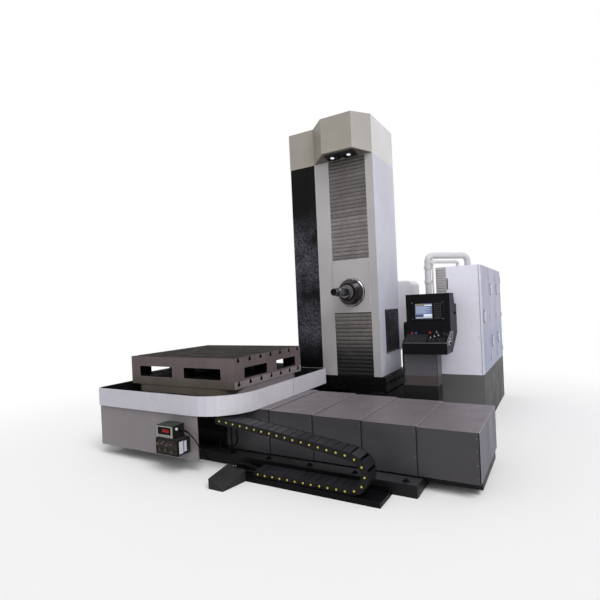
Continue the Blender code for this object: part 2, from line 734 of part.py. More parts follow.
def hood_lamps(material):
    """Two lamp housings on one bar under the hood."""
    start = COLUMN_FRONT - LAMP_FROM_COLUMN
    middle = (HOOD_LEFT + HOOD_RIGHT) / 2
    reach = LAMP_SPREAD + LAMP_WIDTH / 2
    bar = lamp_profile(start, LAMP_LENGTH, SEAT, LAMP_BAR)
    lamps = prism("hood_lamps", bar, middle - reach, middle + reach, ALONG_X, material)
    housing = lamp_profile(start - SEAT, LAMP_LENGTH - 2 * SEAT, 2 * SEAT, LAMP_THICK)
    width = LAMP_WIDTH / 2 - SEAT
    for index, side in enumerate((-1, 1)):
        x = middle + side * LAMP_SPREAD
        fuse(lamps, prism(f"lamp_{index}", housing, x - width, x + width, ALONG_X, None, TOOLS))


def column_fittings(black, light):
    """Dark vent panel on the column's side and the drive cover behind it."""
    front = COLUMN_FRONT + VENT_FROM_FRONT
    block("vent_panel", (COLUMN_RIGHT + SEAT, front, VENT_LOW),
          (COLUMN_RIGHT + VENT_THICK, front + VENT_LENGTH, VENT_LOW + VENT_HEIGHT), black)
    near = COLUMN_BACK + SEAT
    far = near + DRIVE_DEPTH
    front = rounded([(DRIVE_LEFT, DRIVE_LOW, 0), (DRIVE_RIGHT, DRIVE_LOW, 0),
                     (DRIVE_RIGHT, DRIVE_HIGH, DRIVE_RADIUS), (DRIVE_LEFT, DRIVE_HIGH, DRIVE_RADIUS)])
    cover = prism("drive_cover", front, near, far, ALONG_Y, light)
    smooth(soften(cover, DRIVE_EDGE, 2, 60))


def headstock_parts(light, steel):
    """Headstock body in the column's opening, its front plate and the flanged spindle nose."""
    back = COLUMN_BACK - COVER_SHEET - BODY_BACK_ROOM
    bar_hole = BAR_RADIUS + CLEAR
    past = COLUMN_BACK
    hole = turned("bar_hole", [(-past, 0), (-past, bar_hole), (past, bar_hole), (past, 0)],
                  (SPINDLE_X, COLUMN_FRONT, SPINDLE_Z), None, SPINDLE_SIDES, TOOLS)
    meet = COLUMN_FRONT + COVER_SHEET + CLEAR
    left, right = COLUMN_SPLIT + COVER_SHEET / 2 + SEAT, COLUMN_RIGHT - COVER_SHEET - CLEAR
    body = block("headstock_body", (left, meet, FACE_LOW + BODY_SHORTER),
                 (right, back, FACE_HIGH - BODY_SHORTER), light)
    left, right = OPENING_LEFT + CLEAR, OPENING_RIGHT - CLEAR
    face = block("headstock_face", (left, COLUMN_FRONT - FACE_PROUD, FACE_LOW + CLEAR),
                 (right, meet - SEAT, FACE_HIGH - CLEAR), light)
    cut(body, hole)
    cut(face, hole)
    bore = SLEEVE_RADIUS + CLEAR / 2
    outer = [(0, bore), (0, FLANGE_RADIUS), (FLANGE_THICK - EDGE_BREAK, FLANGE_RADIUS),
             (FLANGE_THICK, FLANGE_RADIUS - EDGE_BREAK), (FLANGE_THICK, NOSE_RADIUS + NOSE_SHOULDER),
             (FLANGE_THICK + EDGE_BREAK, NOSE_RADIUS), (FLANGE_THICK + NOSE_COLLAR, NOSE_RADIUS),
             (NOSE_LENGTH, NOSE_TIP), (NOSE_LENGTH, bore)]
    turned("spindle_flange", outer, spindle_seat(), steel)


def spindle_seat():
    """Point on the spindle's axis just in front of the headstock's plate."""
    return (SPINDLE_X, COLUMN_FRONT - FACE_PROUD - SEAT, SPINDLE_Z)


def spindle_parts(steel):
    """Rotating sleeve with a bore, and the boring bar that slides in it."""
    bore = BAR_RADIUS + SEAT
    sleeve = [(0, bore), (0, SLEEVE_RADIUS), (SLEEVE_LENGTH - NOSE_SHOULDER, SLEEVE_RADIUS),
              (SLEEVE_LENGTH, SLEEVE_RADIUS - NOSE_SHOULDER), (SLEEVE_LENGTH, bore)]
    turned("milling_spindle", sleeve, spindle_seat(), steel)
    length = BAR_REACH
    bar = [(-BAR_INSIDE, 0), (-BAR_INSIDE, BAR_RADIUS), (length - EDGE_BREAK, BAR_RADIUS),
           (length, BAR_RADIUS - EDGE_BREAK), (length, TAPER_MOUTH), (length - TAPER_DEPTH, TAPER_END),
           (length - TAPER_DEPTH, 0)]
    turned("boring_spindle", bar, spindle_seat(), steel)


def slat_profile(low, high):
    """Side view (y, z) of a slatted apron: overlapping slats with a step at each joint."""
    front = COLUMN_FRONT + SLAT_RECESS
    back = front + SLAT_THICK
    count = max(2, round((high - low) / SLAT_PITCH))
    pitch = (high - low) / count
    points = [(back, low)]
    for index in range(count):
        base = low + index * pitch
        points += [(front, base), (front, base + pitch * SLAT_FLAT), (front + SLAT_RELIEF, base + pitch)]
    return points + [(back, high)]


def slat_aprons(material):
    """Slatted aprons above and below the headstock, between the column's front strips."""
    left, right = OPENING_LEFT + SLAT_SIDE_ROOM, OPENING_RIGHT - SLAT_SIDE_ROOM
    prism("upper_apron", slat_profile(FACE_HIGH, COLUMN_TOP), left, right, ALONG_X, material)
    prism("lower_apron", slat_profile(COLUMN_SLIDE_TOP + SEAT, FACE_LOW), left, right, ALONG_X, material)


def chain_path():
    """Pin centres (x, z) of the energy chain: upper run, bend and lower run."""
    start = Vector((CHAIN_LEFT, CHAIN_HIGH))
    centre = Vector((CHAIN_BEND_X, CHAIN_BEND_Z))
    top = centre + CHAIN_BEND_RADIUS * Vector((math.sin(CHAIN_SLOPE), math.cos(CHAIN_SLOPE)))
    count = round((top - start).length / CHAIN_PITCH)
    points = []
    for index in range(count):
        share = index / count
        points.append(start.lerp(top, share) + Vector((0, CHAIN_BOW * math.sin(math.pi * share))))
    sweep = math.pi - CHAIN_SLOPE
    turns = round(CHAIN_BEND_RADIUS * sweep / CHAIN_PITCH)
    for index in range(turns):
        angle = CHAIN_SLOPE + sweep * index / turns
        points.append(centre + CHAIN_BEND_RADIUS * Vector((math.sin(angle), math.cos(angle))))
    bottom = centre - Vector((0, CHAIN_BEND_RADIUS))
    end = Vector((CHAIN_LOWER_LEFT, bottom.y))
    count = round((bottom - end).length / CHAIN_PITCH)
    points += [bottom.lerp(end, index / count) for index in range(count + 1)]
    return points


def energy_chain(material):
    """Band of links from the saddle round the bend into its channel, notched where link meets link."""
    path = chain_path()
    outside, inside = [], []
    for start, end in zip(path, path[1:]):
        along = (end - start).normalized()
        out = Vector((-along.y, along.x))
        first = start + along * (NOTCH_HALF if start != path[0] else 0)
        last = end - along * (NOTCH_HALF if end != path[-1] else 0)
        for side, edge in ((1, outside), (-1, inside)):
            half = side * out * CHAIN_HALF_HEIGHT
            edge += [tuple(first + half), tuple(last + half)]
            if end != path[-1]:
                edge.append(tuple(end + side * out * (CHAIN_HALF_HEIGHT - NOTCH_DEPTH)))
    return prism("energy_chain", outside + inside[::-1], CHAIN_FRONT, CHAIN_BACK, ALONG_Y, material)


def chain_tray(material):
    """Low channel on the floor that carries the chain's lower run, with a plate to the bed's foot."""
    floor = CHAIN_BEND_Z - CHAIN_BEND_RADIUS - CHAIN_HALF_HEIGHT - SEAT
    front, back = CHAIN_FRONT - CHANNEL_ROOM, CHAIN_BACK + CHANNEL_ROOM
    skin = CHANNEL_SKIN
    foot = -BED_FOOT_HALF - SEAT
    lip = floor + CHANNEL_LIP
    fence = floor + CHANNEL_FENCE
    profile = [(front, 0), (front, lip), (front + skin, lip), (front + skin, floor), (back - skin, floor),
               (back - skin, fence), (back, fence), (back, skin), (foot, skin), (foot, 0)]
    return prism("chain_tray", profile, CHANNEL_LEFT, CHANNEL_RIGHT, ALONG_X, material)


def cable_duct(material):
    """Sloped duct from the chain's channel down to the floor, stepped low where the guard passes over it."""
    ends = []
    for left, high, low in ((DUCT_LEFT, DUCT_BACK_HIGH, DUCT_BACK_LOW),
                            (DUCT_LEFT - DUCT_SHIFT, DUCT_FRONT_HIGH, DUCT_FRONT_LOW)):
        right = left + DUCT_FOOT
        eaves = high - DUCT_EAVES
        ends.append([(left, 0), (right, 0), (right, low), (left + DUCT_RIDGE, high), (left, eaves)])
    start = CHAIN_FRONT - CHANNEL_ROOM - SEAT
    duct = tapered("cable_duct", *ends, start, start - DUCT_LENGTH, material)
    low = (DUCT_LEFT - DUCT_SHIFT, TRAY_FRONT + APRON_INSET - DUCT_CLEAR, DUCT_STEP)
    high = (DUCT_LEFT + DUCT_FOOT + DUCT_CLEAR, start + DUCT_CLEAR, DUCT_BACK_HIGH + DUCT_CLEAR)
    return cut(duct, block("duct_step", low, high, None, TOOLS))


def conduit_points():
    """Route of the conduit: up from the pendant, over and down onto the cabinet."""
    rise = Vector((PENDANT_LEFT + CONDUIT_ON_PENDANT, PENDANT_BACK - CONDUIT_RADIUS - CONDUIT_ROOM,
                   PENDANT_STEP + SEAT))
    land = Vector((CABINET_RIGHT - CONDUIT_ON_CABINET_X, CABINET_FRONT + CONDUIT_ON_CABINET_Y,
                   CABINET_TOP + SEAT))
    top = CABINET_TOP + CONDUIT_ARCH
    over_start = Vector((rise.x, rise.y, top))
    over_end = Vector((land.x, land.y, top))
    steps = 6
    points = [rise]
    for corner, before, after in ((over_start, rise, over_end), (over_end, over_start, land)):
        enter = (before - corner).normalized() * CONDUIT_BEND
        leave = (after - corner).normalized() * CONDUIT_BEND
        for step in range(steps + 1):
            angle = math.pi / 2 * step / steps
            points.append(corner + enter + leave - leave * math.cos(angle) - enter * math.sin(angle))
    return points + [land]


def pendant_parts(black, screen, grey):
    """Operator's pendant with its screen, on its stand."""
    shelf, face, back = PENDANT_SHELF, PENDANT_FACE, PENDANT_BACK
    step = back - 2 * (CONDUIT_RADIUS + CONDUIT_ROOM) - PENDANT_EDGE
    stand_back = STAND_FRONT + STAND_DEPTH
    slope = PENDANT_TOP - PENDANT_STEP
    profile = [(shelf, PENDANT_LOW), (shelf, PENDANT_LIP), (face, PENDANT_SILL), (face, PENDANT_TOP),
               (step - slope / 3, PENDANT_TOP), (step, PENDANT_STEP), (back, PENDANT_STEP),
               (back, PENDANT_HEEL), (stand_back, PENDANT_LOW)]
    pendant = prism("pendant_housing", profile, PENDANT_LEFT, PENDANT_LEFT + PENDANT_WIDTH, ALONG_X, black)
    switches = block("pendant_switches", (PENDANT_LEFT - SWITCH_WIDTH, SWITCH_FRONT, SWITCH_LOW),
                     (PENDANT_LEFT + SWITCH_WIDTH, SWITCH_FRONT + SWITCH_DEPTH, SWITCH_TOP), None, TOOLS)
    soften(fuse(pendant, switches), PENDANT_EDGE)
    left = PENDANT_LEFT + BEZEL_INSET
    bezel = block("pendant_bezel", (left, face - BEZEL_THICK, BEZEL_LOW),
                  (left + BEZEL_WIDTH, face + PENDANT_EDGE, BEZEL_LOW + BEZEL_HEIGHT), None, TOOLS)
    fuse(pendant, soften(bezel, BEZEL_EDGE))
    left = PENDANT_LEFT + SCREEN_INSET
    right, screen_top = left + SCREEN_WIDTH, SCREEN_LOW + SCREEN_HEIGHT
    pocket = block("screen_pocket", (left - SEAT, face - 2 * BEZEL_THICK, SCREEN_LOW - SEAT),
                   (right + SEAT, face + SCREEN_SUNK, screen_top + SEAT), None, TOOLS)
    cut(pendant, pocket)
    stand = block("pendant_stand", (STAND_LEFT, STAND_FRONT, 0),
                  (STAND_LEFT + STAND_WIDTH, stand_back, PENDANT_LOW - SEAT), grey)
    soften(stand, STAND_EDGE)
    block("pendant_screen", (left, face - SCREEN_THICK, SCREEN_LOW),
          (right, face + SCREEN_SUNK - SEAT, screen_top), screen)


def cable_conduit(white):
    """Round tube along the conduit's route."""
    curve = bpy.data.curves.new("cable_conduit", "CURVE")
    curve.dimensions = "3D"
    curve.bevel_depth = CONDUIT_RADIUS
    curve.bevel_resolution = 4
    curve.use_fill_caps = True
    route = conduit_points()
    spline = curve.splines.new("POLY")
    spline.points.add(len(route) - 1)
    spline.use_smooth = True
    for point, spot in zip(spline.points, route):
        point.co = (*spot, 1.0)
    curve.materials.append(white)
    tube = bpy.data.objects.new("cable_conduit", curve)
    PART.objects.link(tube)


def cabinet_door(index, start, width, heights, material):
    """One door, hung at its far edge, with its handles near the other edge."""
    low = PLINTH_TOP + SEAT + CLEAR
    hinge = Vector((CABINET_RIGHT, start + width, PLINTH_TOP))
    door = block(f"cabinet_door_{index}", (CABINET_RIGHT - DOOR_THICK + SEAT, start, low),
                 (CABINET_RIGHT, start + width, CABINET_TOP), material)
    for place_no, height in enumerate(heights):
        base = Vector((CABINET_RIGHT - DOOR_THICK / 2, start + HANDLE_INSET, PLINTH_TOP + height))
        size = Vector((DOOR_THICK / 2 + HANDLE_PROUD, HANDLE_WIDTH, HANDLE_HEIGHT))
        fuse(door, block(f"door_{index}_handle_{place_no}", base, base + size, None, TOOLS))
    door.data.transform(Matrix.Translation(-hinge))
    door.location = hinge
    soften(door, DOOR_EDGE, 1)


def cabinet_parts(plinth_paint, light):
    """Electrical cabinet: plinth, body open at the right, and three hinged doors."""
    block("cabinet_plinth", (CABINET_LEFT, CABINET_FRONT, 0), (CABINET_RIGHT, CABINET_BACK, PLINTH_TOP),
          plinth_paint)
    low, front = PLINTH_TOP + SEAT, CABINET_RIGHT - DOOR_THICK
    body = block("cabinet_body", (CABINET_LEFT, CABINET_FRONT, low), (front, CABINET_BACK, CABINET_TOP),
                 light)
    sheet = CABINET_SHEET
    inside = block("cabinet_inside", (CABINET_LEFT + sheet, CABINET_FRONT + sheet, low + sheet),
                   (CABINET_RIGHT, CABINET_BACK - sheet, CABINET_TOP - sheet), None, TOOLS)
    cut(body, inside)
    width = (CABINET_BACK - CABINET_FRONT) / DOOR_COUNT
    for index in range(DOOR_COUNT):
        heights = (HANDLE_MIDDLE,) if index == 0 else (HANDLE_LOW, HANDLE_HIGH)
        cabinet_door(index + 1, CABINET_FRONT + index * width + CLEAR / 2, width - CLEAR, heights, light)


def carriage(name, spot, *riders):
    """Empty on a joint's axis that carries the pieces which move with it."""
    axis = bpy.data.objects.new(name, None)
    axis.location = spot
    PART.objects.link(axis)
    for rider in riders:
        rider.parent = axis
        rider.matrix_parent_inverse = Matrix.Translation(-Vector(spot))
    return axis


def joints():
    """Empties on the axes of the moving bodies, nested as the machine's slides are."""
    part = PART.objects
    turning = carriage("table_turn_axis", (TABLE_CENTRE_X, 0, TABLE_LOW), part["rotary_table"],
                       part["riser_block"])
    carriage("table_travel_axis", (TABLE_CENTRE_X, 0, SADDLE_TOP), part["saddle"], part["drip_tray"],
             part["tray_apron"], part["lubrication_unit"], part[f"right_cover_{COVER_COUNT}"],
             part[f"left_cover_{COVER_COUNT}"], turning)
    for side in ("right", "left"):
        for level in range(2, COVER_COUNT):
            name = f"{side}_cover_{level}"
            carriage(name + "_axis", (TABLE_CENTRE_X, 0, COVER_TOP), part[name])
    feed = carriage("spindle_feed_axis", spindle_seat(), part["boring_spindle"])
    turn = carriage("spindle_turn_axis", spindle_seat(), part["milling_spindle"], feed)
    head = carriage("headstock_travel_axis", (SPINDLE_X, COLUMN_FRONT, SPINDLE_Z), part["headstock_body"],
                    part["headstock_face"], part["spindle_flange"], turn)
    carriage("column_travel_axis", (SPINDLE_X, COLUMN_FRONT, COLUMN_BED_TOP), part["column_saddle"],
             part["column_casting"], part["column_cover"], part["column_cap"], part["hood_lamps"],
             part["vent_panel"], part["drive_cover"], part["upper_apron"], part["lower_apron"], head)


def build():
    clear_scene()
    black = finish("black_casting", (0.012, 0.012, 0.013), 0.5, 0.0)
    cover_grey = finish("cover_grey", (0.10, 0.095, 0.10), 0.45, 0.2)
    iron = finish("ground_iron", (0.12, 0.10, 0.10), 0.4, 0.6)
    tray_white = finish("tray_enamel", (0.48, 0.46, 0.52), 0.35, 0.0)
    apron_grey = finish("apron_grey", (0.18, 0.17, 0.17), 0.45, 0.0)
    light = finish("light_panel", (0.42, 0.41, 0.42), 0.4, 0.0)
    lavender = finish("side_panel", (0.53, 0.52, 0.60), 0.4, 0.0)
    cap_paint = finish("cap_paint", (0.32, 0.29, 0.27), 0.5, 0.0)
    steel = finish("bright_steel", (0.55, 0.55, 0.56), 0.25, 1.0)
    slat = finish("slat_steel", (0.16, 0.15, 0.15), 0.35, 0.7)
    pendant_black = finish("pendant_black", (0.01, 0.01, 0.013), 0.45, 0.0)
    white = finish("white_tube", (0.7, 0.7, 0.72), 0.35, 0.0)
    screen = finish("screen_glass", (0.22, 0.28, 0.52), 0.15, 0.0)
    plinth_grey = finish("plinth_grey", (0.10, 0.10, 0.11), 0.5, 0.0)

    table_bed(black)
    bed_covers(cover_grey)
    table_saddle(black)
    drip_tray(tray_white)
    tray_apron(apron_grey)
    rotary_table(iron)
    riser_block(iron)
    lubrication_unit(plinth_grey)
    column_bed(black)
    column_parts(black, light, cap_paint)
    hood_lamps(white)
    column_fittings(pendant_black, light)
    headstock_parts(lavender, steel)
    spindle_parts(steel)
    slat_aprons(slat)
    energy_chain(pendant_black)
    chain_tray(black)
    cable_duct(black)
    pendant_parts(pendant_black, screen, plinth_grey)
    cable_conduit(white)
    cabinet_parts(plinth_grey, lavender)
    joints()


build()
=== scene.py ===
# %% [markdown]
# # A horizontal boring mill, dressed
# The solid model of the machine is loaded first and stays where it is.  Everything below either
# gives one of its solids a better surface, or adds the fine pieces that belong on a solid model:
# slats, bolts, chain links, keys, lamps and seams.  Lengths are in metres, Z is up, and the
# machine's long cross bed runs along X.

# %% Load the fixed frame
import json
import math

import bmesh
import bpy
from mathutils import Matrix, Vector


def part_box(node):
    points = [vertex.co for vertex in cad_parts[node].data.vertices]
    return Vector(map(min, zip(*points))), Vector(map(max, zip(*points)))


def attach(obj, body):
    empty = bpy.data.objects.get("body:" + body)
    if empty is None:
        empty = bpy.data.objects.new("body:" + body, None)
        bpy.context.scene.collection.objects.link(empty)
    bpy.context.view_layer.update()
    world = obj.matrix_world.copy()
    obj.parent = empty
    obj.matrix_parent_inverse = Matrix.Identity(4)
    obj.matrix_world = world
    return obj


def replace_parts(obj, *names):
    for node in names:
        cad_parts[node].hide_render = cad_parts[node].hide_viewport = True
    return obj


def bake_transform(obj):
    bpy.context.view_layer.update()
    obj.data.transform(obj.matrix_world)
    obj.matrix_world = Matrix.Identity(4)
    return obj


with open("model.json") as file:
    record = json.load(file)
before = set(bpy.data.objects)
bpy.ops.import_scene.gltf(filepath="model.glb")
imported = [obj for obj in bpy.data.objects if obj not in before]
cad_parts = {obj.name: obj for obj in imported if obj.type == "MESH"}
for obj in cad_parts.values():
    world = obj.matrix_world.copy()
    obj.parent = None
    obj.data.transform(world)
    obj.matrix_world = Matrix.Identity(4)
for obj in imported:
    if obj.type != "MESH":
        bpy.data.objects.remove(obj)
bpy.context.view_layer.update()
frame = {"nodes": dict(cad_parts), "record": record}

# %% [markdown]
# ## The camera
# The camera stands to the right of the cross bed, about two metres out, with a wide lens at breast
# height.  The place and the three turns were found by fitting the corners of the machine, so the
# camera is written as numbers and not aimed at a target.  A small lens shift keeps the uprights
# of the column parallel, as the photograph has them.

# %% Camera
CAMERA_PLACE = Vector((2.2573, -4.2947, 1.656))
CAMERA_YAW = math.radians(-30.4626)
CAMERA_PITCH = math.radians(0.2271)
CAMERA_ROLL = math.radians(-2.5959)
LENS = 26.297
SENSOR = 36.0
SHIFT = (0.0003, 0.0133)
FAR_LIMIT = 200.0


def camera_axes(yaw, pitch, roll):
    """Right, up and ahead of a camera that is turned by yaw and pitch and then rolled."""
    ahead = Vector((math.sin(yaw) * math.cos(pitch), math.cos(yaw) * math.cos(pitch), -math.sin(pitch)))
    level = Vector((math.cos(yaw), -math.sin(yaw), 0.0))
    upright = level.cross(ahead)
    right = level * math.cos(roll) + upright * math.sin(roll)
    up = upright * math.cos(roll) - level * math.sin(roll)
    return right, up, ahead


def make_camera():
    lens = bpy.data.cameras.new("workshop_camera")
    lens.lens = LENS
    lens.sensor_width = SENSOR
    lens.shift_x, lens.shift_y = SHIFT
    lens.clip_end = FAR_LIMIT
    camera = bpy.data.objects.new("workshop_camera", lens)
    right, up, ahead = camera_axes(CAMERA_YAW, CAMERA_PITCH, CAMERA_ROLL)
    turn = Matrix((right, up, -ahead)).transposed()
    camera.matrix_world = Matrix.Translation(CAMERA_PLACE) @ turn.to_4x4()
    bpy.context.scene.collection.objects.link(camera)
    bpy.context.scene.camera = camera
    return camera


print("camera:", make_camera().name)

# %% [markdown]
# ## Helpers for node trees
# Materials and the world are both trees of shader nodes.  Adding a node, setting its options and
# linking its sockets takes several lines each time, so one small function does all three, and the
# few kinds of node that come back often get a short name of their own.

# %% Small helpers for node trees
def add_node(tree, kind, options=(), **sockets):
    """Adds a node, sets its options, and sets or links the sockets named (or numbered as n0, n1)."""
    made = tree.nodes.new(kind)
    for key, value in dict(options).items():
        setattr(made, key, value)
    for key, value in sockets.items():
        numbered = key[0] == "n" and key[1:].isdigit()
        socket = made.inputs[int(key[1:]) if numbered else key.replace("_", " ")]
        if isinstance(value, bpy.types.NodeSocket):
            tree.links.new(value, socket)
        else:
            socket.default_value = value
    return made


def maths(tree, operation, a, b=0.0, clamp=False):
    return add_node(tree, "ShaderNodeMath", {"operation": operation, "use_clamp": clamp}, n0=a, n1=b).outputs[0]


def vector_maths(tree, operation, output=0, **sockets):
    return add_node(tree, "ShaderNodeVectorMath", {"operation": operation}, **sockets).outputs[output]


def mix_colour(tree, factor, a, b):
    return add_node(tree, "ShaderNodeMix", {"data_type": "RGBA"}, n0=factor, n6=a, n7=b).outputs[2]


def remap(tree, value, low, high, to_low=0.0, to_high=1.0):
    names = {"n0": value, "n1": low, "n2": high, "n3": to_low, "n4": to_high}
    return add_node(tree, "ShaderNodeMapRange", {"interpolation_type": "SMOOTHSTEP"}, **names).outputs[0]


def new_group(name, inputs, outputs):
    """A node group with named sockets: inputs is {name: (kind, default)} and outputs {name: kind}."""
    tree = bpy.data.node_groups.new(name, "ShaderNodeTree")
    for socket, (kind, default) in inputs.items():
        made = tree.interface.new_socket(socket, in_out="INPUT", socket_type="NodeSocket" + kind)
        if default is not None:
            made.default_value = default
    for socket, kind in outputs.items():
        tree.interface.new_socket(socket, in_out="OUTPUT", socket_type="NodeSocket" + kind)
    return tree, tree.nodes.new("NodeGroupInput").outputs, tree.nodes.new("NodeGroupOutput").inputs


def noise(tree, vector, scale, detail=3.0, roughness=0.5):
    made = add_node(tree, "ShaderNodeTexNoise", {}, Vector=vector, Scale=scale, Detail=detail, Roughness=roughness)
    return made.outputs["Fac"]


def surface_place(tree):
    return tree.nodes.new("ShaderNodeTexCoord").outputs["Object"]


def stretched(tree, vector, z):
    """The same place with its height scaled, so that a noise read there is drawn out along Z."""
    return add_node(tree, "ShaderNodeMapping", {}, Vector=vector, Scale=(1.0, 1.0, z)).outputs[0]


def part_of(tree, vector, axis):
    """One of the three numbers of a vector, such as the Z of a place, which is its height."""
    return add_node(tree, "ShaderNodeSeparateXYZ", {}, Vector=vector).outputs[axis]


def times(tree, a, b, clamp=False):
    return maths(tree, "MULTIPLY", a, b, clamp)


print("node helpers ready for:", bpy.app.version_string)

# %% [markdown]
# ## Floor and light
# A machine this size is best judged in plain light, so the stage is a pale floor under a white
# sky.  A sun high on the right gives the flat sides their difference in tone, and a weak one on
# the left opens the shadows.  Both have a wide angle, as a big soft box has, and a sun lights the
# far floor as evenly as the near.  The world looks white to the camera, and lights the machine at
# a lower level through a second background shader.  The floor keeps the machine's shadow, and a
# few metres out it turns into plain white, so that no horizon cuts the picture.

# %% Floor, suns and world
FLOOR_HALF = 60.0
FLOOR_WHITE = (0.94, 0.94, 0.94, 1.0)
FLOOR_ROUGHNESS = 0.9
FLOOR_SPECULAR = 0.1
FLOOR_FADE = (3.5, 7.5)
WHITE = (1.0, 1.0, 1.0, 1.0)
SKY_LIGHT = 0.46
SUNS = {
    "key_sun": ((0.56, -0.38, 0.74), 2.0, 0.6),
    "fill_sun": ((-0.40, -0.85, 0.35), 0.35, 0.9),
}


def link(thing):
    bpy.context.scene.collection.objects.link(thing)
    return thing


def make_sun(name, toward, strength, angle):
    data = bpy.data.lights.new(name, "SUN")
    data.energy = strength
    data.angle = angle
    sun = link(bpy.data.objects.new(name, data))
    sun.matrix_world = Vector(toward).to_track_quat("Z", "Y").to_matrix().to_4x4()
    return sun


def sees_room(tree):
    """1 for the camera and for rays that a mirror or a glass sends on, 0 for plain lighting."""
    rays = tree.nodes.new("ShaderNodeLightPath").outputs
    mirrored = maths(tree, "MAXIMUM", rays["Is Glossy Ray"], rays["Is Transmission Ray"])
    return maths(tree, "MAXIMUM", rays["Is Camera Ray"], mirrored)


def make_floor():
    mesh = bpy.data.meshes.new("floor")
    h = FLOOR_HALF
    mesh.from_pydata([(-h, -h, 0), (h, -h, 0), (h, h, 0), (-h, h, 0)], [], [(0, 1, 2, 3)])
    floor = link(bpy.data.objects.new("floor", mesh))
    paint = bpy.data.materials.new("floor_paint")
    paint.use_nodes = True
    tree = paint.node_tree
    shader = tree.nodes["Principled BSDF"]
    shader.inputs["Base Color"].default_value = FLOOR_WHITE
    shader.inputs["Roughness"].default_value = FLOOR_ROUGHNESS
    shader.inputs["Specular IOR Level"].default_value = FLOOR_SPECULAR
    away = vector_maths(tree, "LENGTH", "Value", n0=surface_place(tree))
    far = times(tree, remap(tree, away, *FLOOR_FADE), sees_room(tree))
    plain = add_node(tree, "ShaderNodeEmission", {}, Strength=1.0)
    plain.inputs["Color"].default_value = WHITE
    both = add_node(tree, "ShaderNodeMixShader", {}, n0=far, n1=shader.outputs[0], n2=plain.outputs[0])
    tree.links.new(both.outputs[0], tree.nodes["Material Output"].inputs["Surface"])
    mesh.materials.append(paint)


def make_world():
    world = bpy.data.worlds.new("white_room")
    world.use_nodes = True
    bpy.context.scene.world = world
    tree = world.node_tree
    tree.nodes.clear()
    seen = sees_room(tree)
    light = add_node(tree, "ShaderNodeBackground", {}, Strength=SKY_LIGHT)
    white = add_node(tree, "ShaderNodeBackground", {}, Strength=1.0)
    for background in (light, white):
        background.inputs["Color"].default_value = WHITE
    choose = add_node(tree, "ShaderNodeMixShader", {}, n0=seen, n1=light.outputs[0], n2=white.outputs[0])
    out = tree.nodes.new("ShaderNodeOutputWorld")
    tree.links.new(choose.outputs[0], out.inputs["Surface"])


bpy.context.scene.view_settings.view_transform = "Standard"
make_floor()
make_world()
suns = [make_sun(name, *spec) for name, spec in SUNS.items()]
print("suns:", [sun.name for sun in suns])

# %% [markdown]
# ## Shared surface effects
# Paint on a machine tool is never one flat colour.  It drifts a little in tone, its gloss is
# broken by wiping, dust settles on what faces up, oil and coolant run down what stands, and the
# edges rub bright.  Each effect is a node group with named sockets, so that every finish below
# can use it with its own amounts.  A group only gives out masks, heights and colours, and the
# shader itself stays in the material.  The first two groups vary the colour and the gloss.

# %% Drift of tone and break of gloss
FINE_DRIFT = 17.0


def group_tone_drift():
    tree, ins, outs = new_group(
        "Tone drift",
        {"Colour": ("Color", (0.5, 0.5, 0.5, 1.0)), "Amount": ("Float", 0.1), "Scale": ("Float", 2.0)},
        {"Colour": "Color"},
    )
    place = surface_place(tree)
    slow = noise(tree, place, ins["Scale"], 4.0, 0.6)
    fine = noise(tree, place, times(tree, ins["Scale"], FINE_DRIFT), 3.0, 0.6)
    both = maths(tree, "ADD", times(tree, slow, 0.7), times(tree, fine, 0.3))
    drift = remap(tree, both, 0.32, 0.68, -1.0, 1.0)
    factor = maths(tree, "ADD", 1.0, times(tree, drift, ins["Amount"]))
    tree.links.new(vector_maths(tree, "SCALE", n0=ins["Colour"], Scale=factor), outs["Colour"])
    return tree


def group_gloss_break():
    tree, ins, outs = new_group(
        "Gloss break",
        {"Low": ("Float", 0.3), "High": ("Float", 0.5), "Scale": ("Float", 5.0)},
        {"Roughness": "Float"},
    )
    wiped = noise(tree, stretched(tree, surface_place(tree), 0.35), ins["Scale"], 5.0, 0.65)
    span = maths(tree, "SUBTRACT", ins["High"], ins["Low"])
    value = times(tree, remap(tree, wiped, 0.3, 0.7), span)
    tree.links.new(maths(tree, "ADD", ins["Low"], value), outs["Roughness"])
    return tree


EFFECTS = {"tone": group_tone_drift(), "gloss": group_gloss_break()}
print("effects of tone and gloss:", [tree.name for tree in EFFECTS.values()])

# %% [markdown]
# ## Wear, dust and run marks
# An edge rubs bright where the surface bends.  A Bevel node gives the normal of a rounded copy of
# the surface, and where that differs from the true normal there is an edge.  Dust needs only the
# direction of the surface, and a run is noise that has been stretched far along Z.

# %% Wear, dust and runs
def group_edge_wear():
    tree, ins, outs = new_group(
        "Edge wear",
        {"Width": ("Float", 0.004), "Amount": ("Float", 0.5), "Scale": ("Float", 25.0)},
        {"Mask": "Float"},
    )
    rounded = add_node(tree, "ShaderNodeBevel", {"samples": 4}, Radius=ins["Width"])
    plain = tree.nodes.new("ShaderNodeNewGeometry")
    dot = vector_maths(tree, "DOT_PRODUCT", "Value", n0=rounded.outputs[0], n1=plain.outputs["Normal"])
    bent = remap(tree, maths(tree, "SUBTRACT", 1.0, dot), 0.01, 0.12)
    patches = remap(tree, noise(tree, surface_place(tree), ins["Scale"], 5.0, 0.7), 0.38, 0.62)
    tree.links.new(times(tree, times(tree, bent, patches), ins["Amount"], True), outs["Mask"])
    return tree


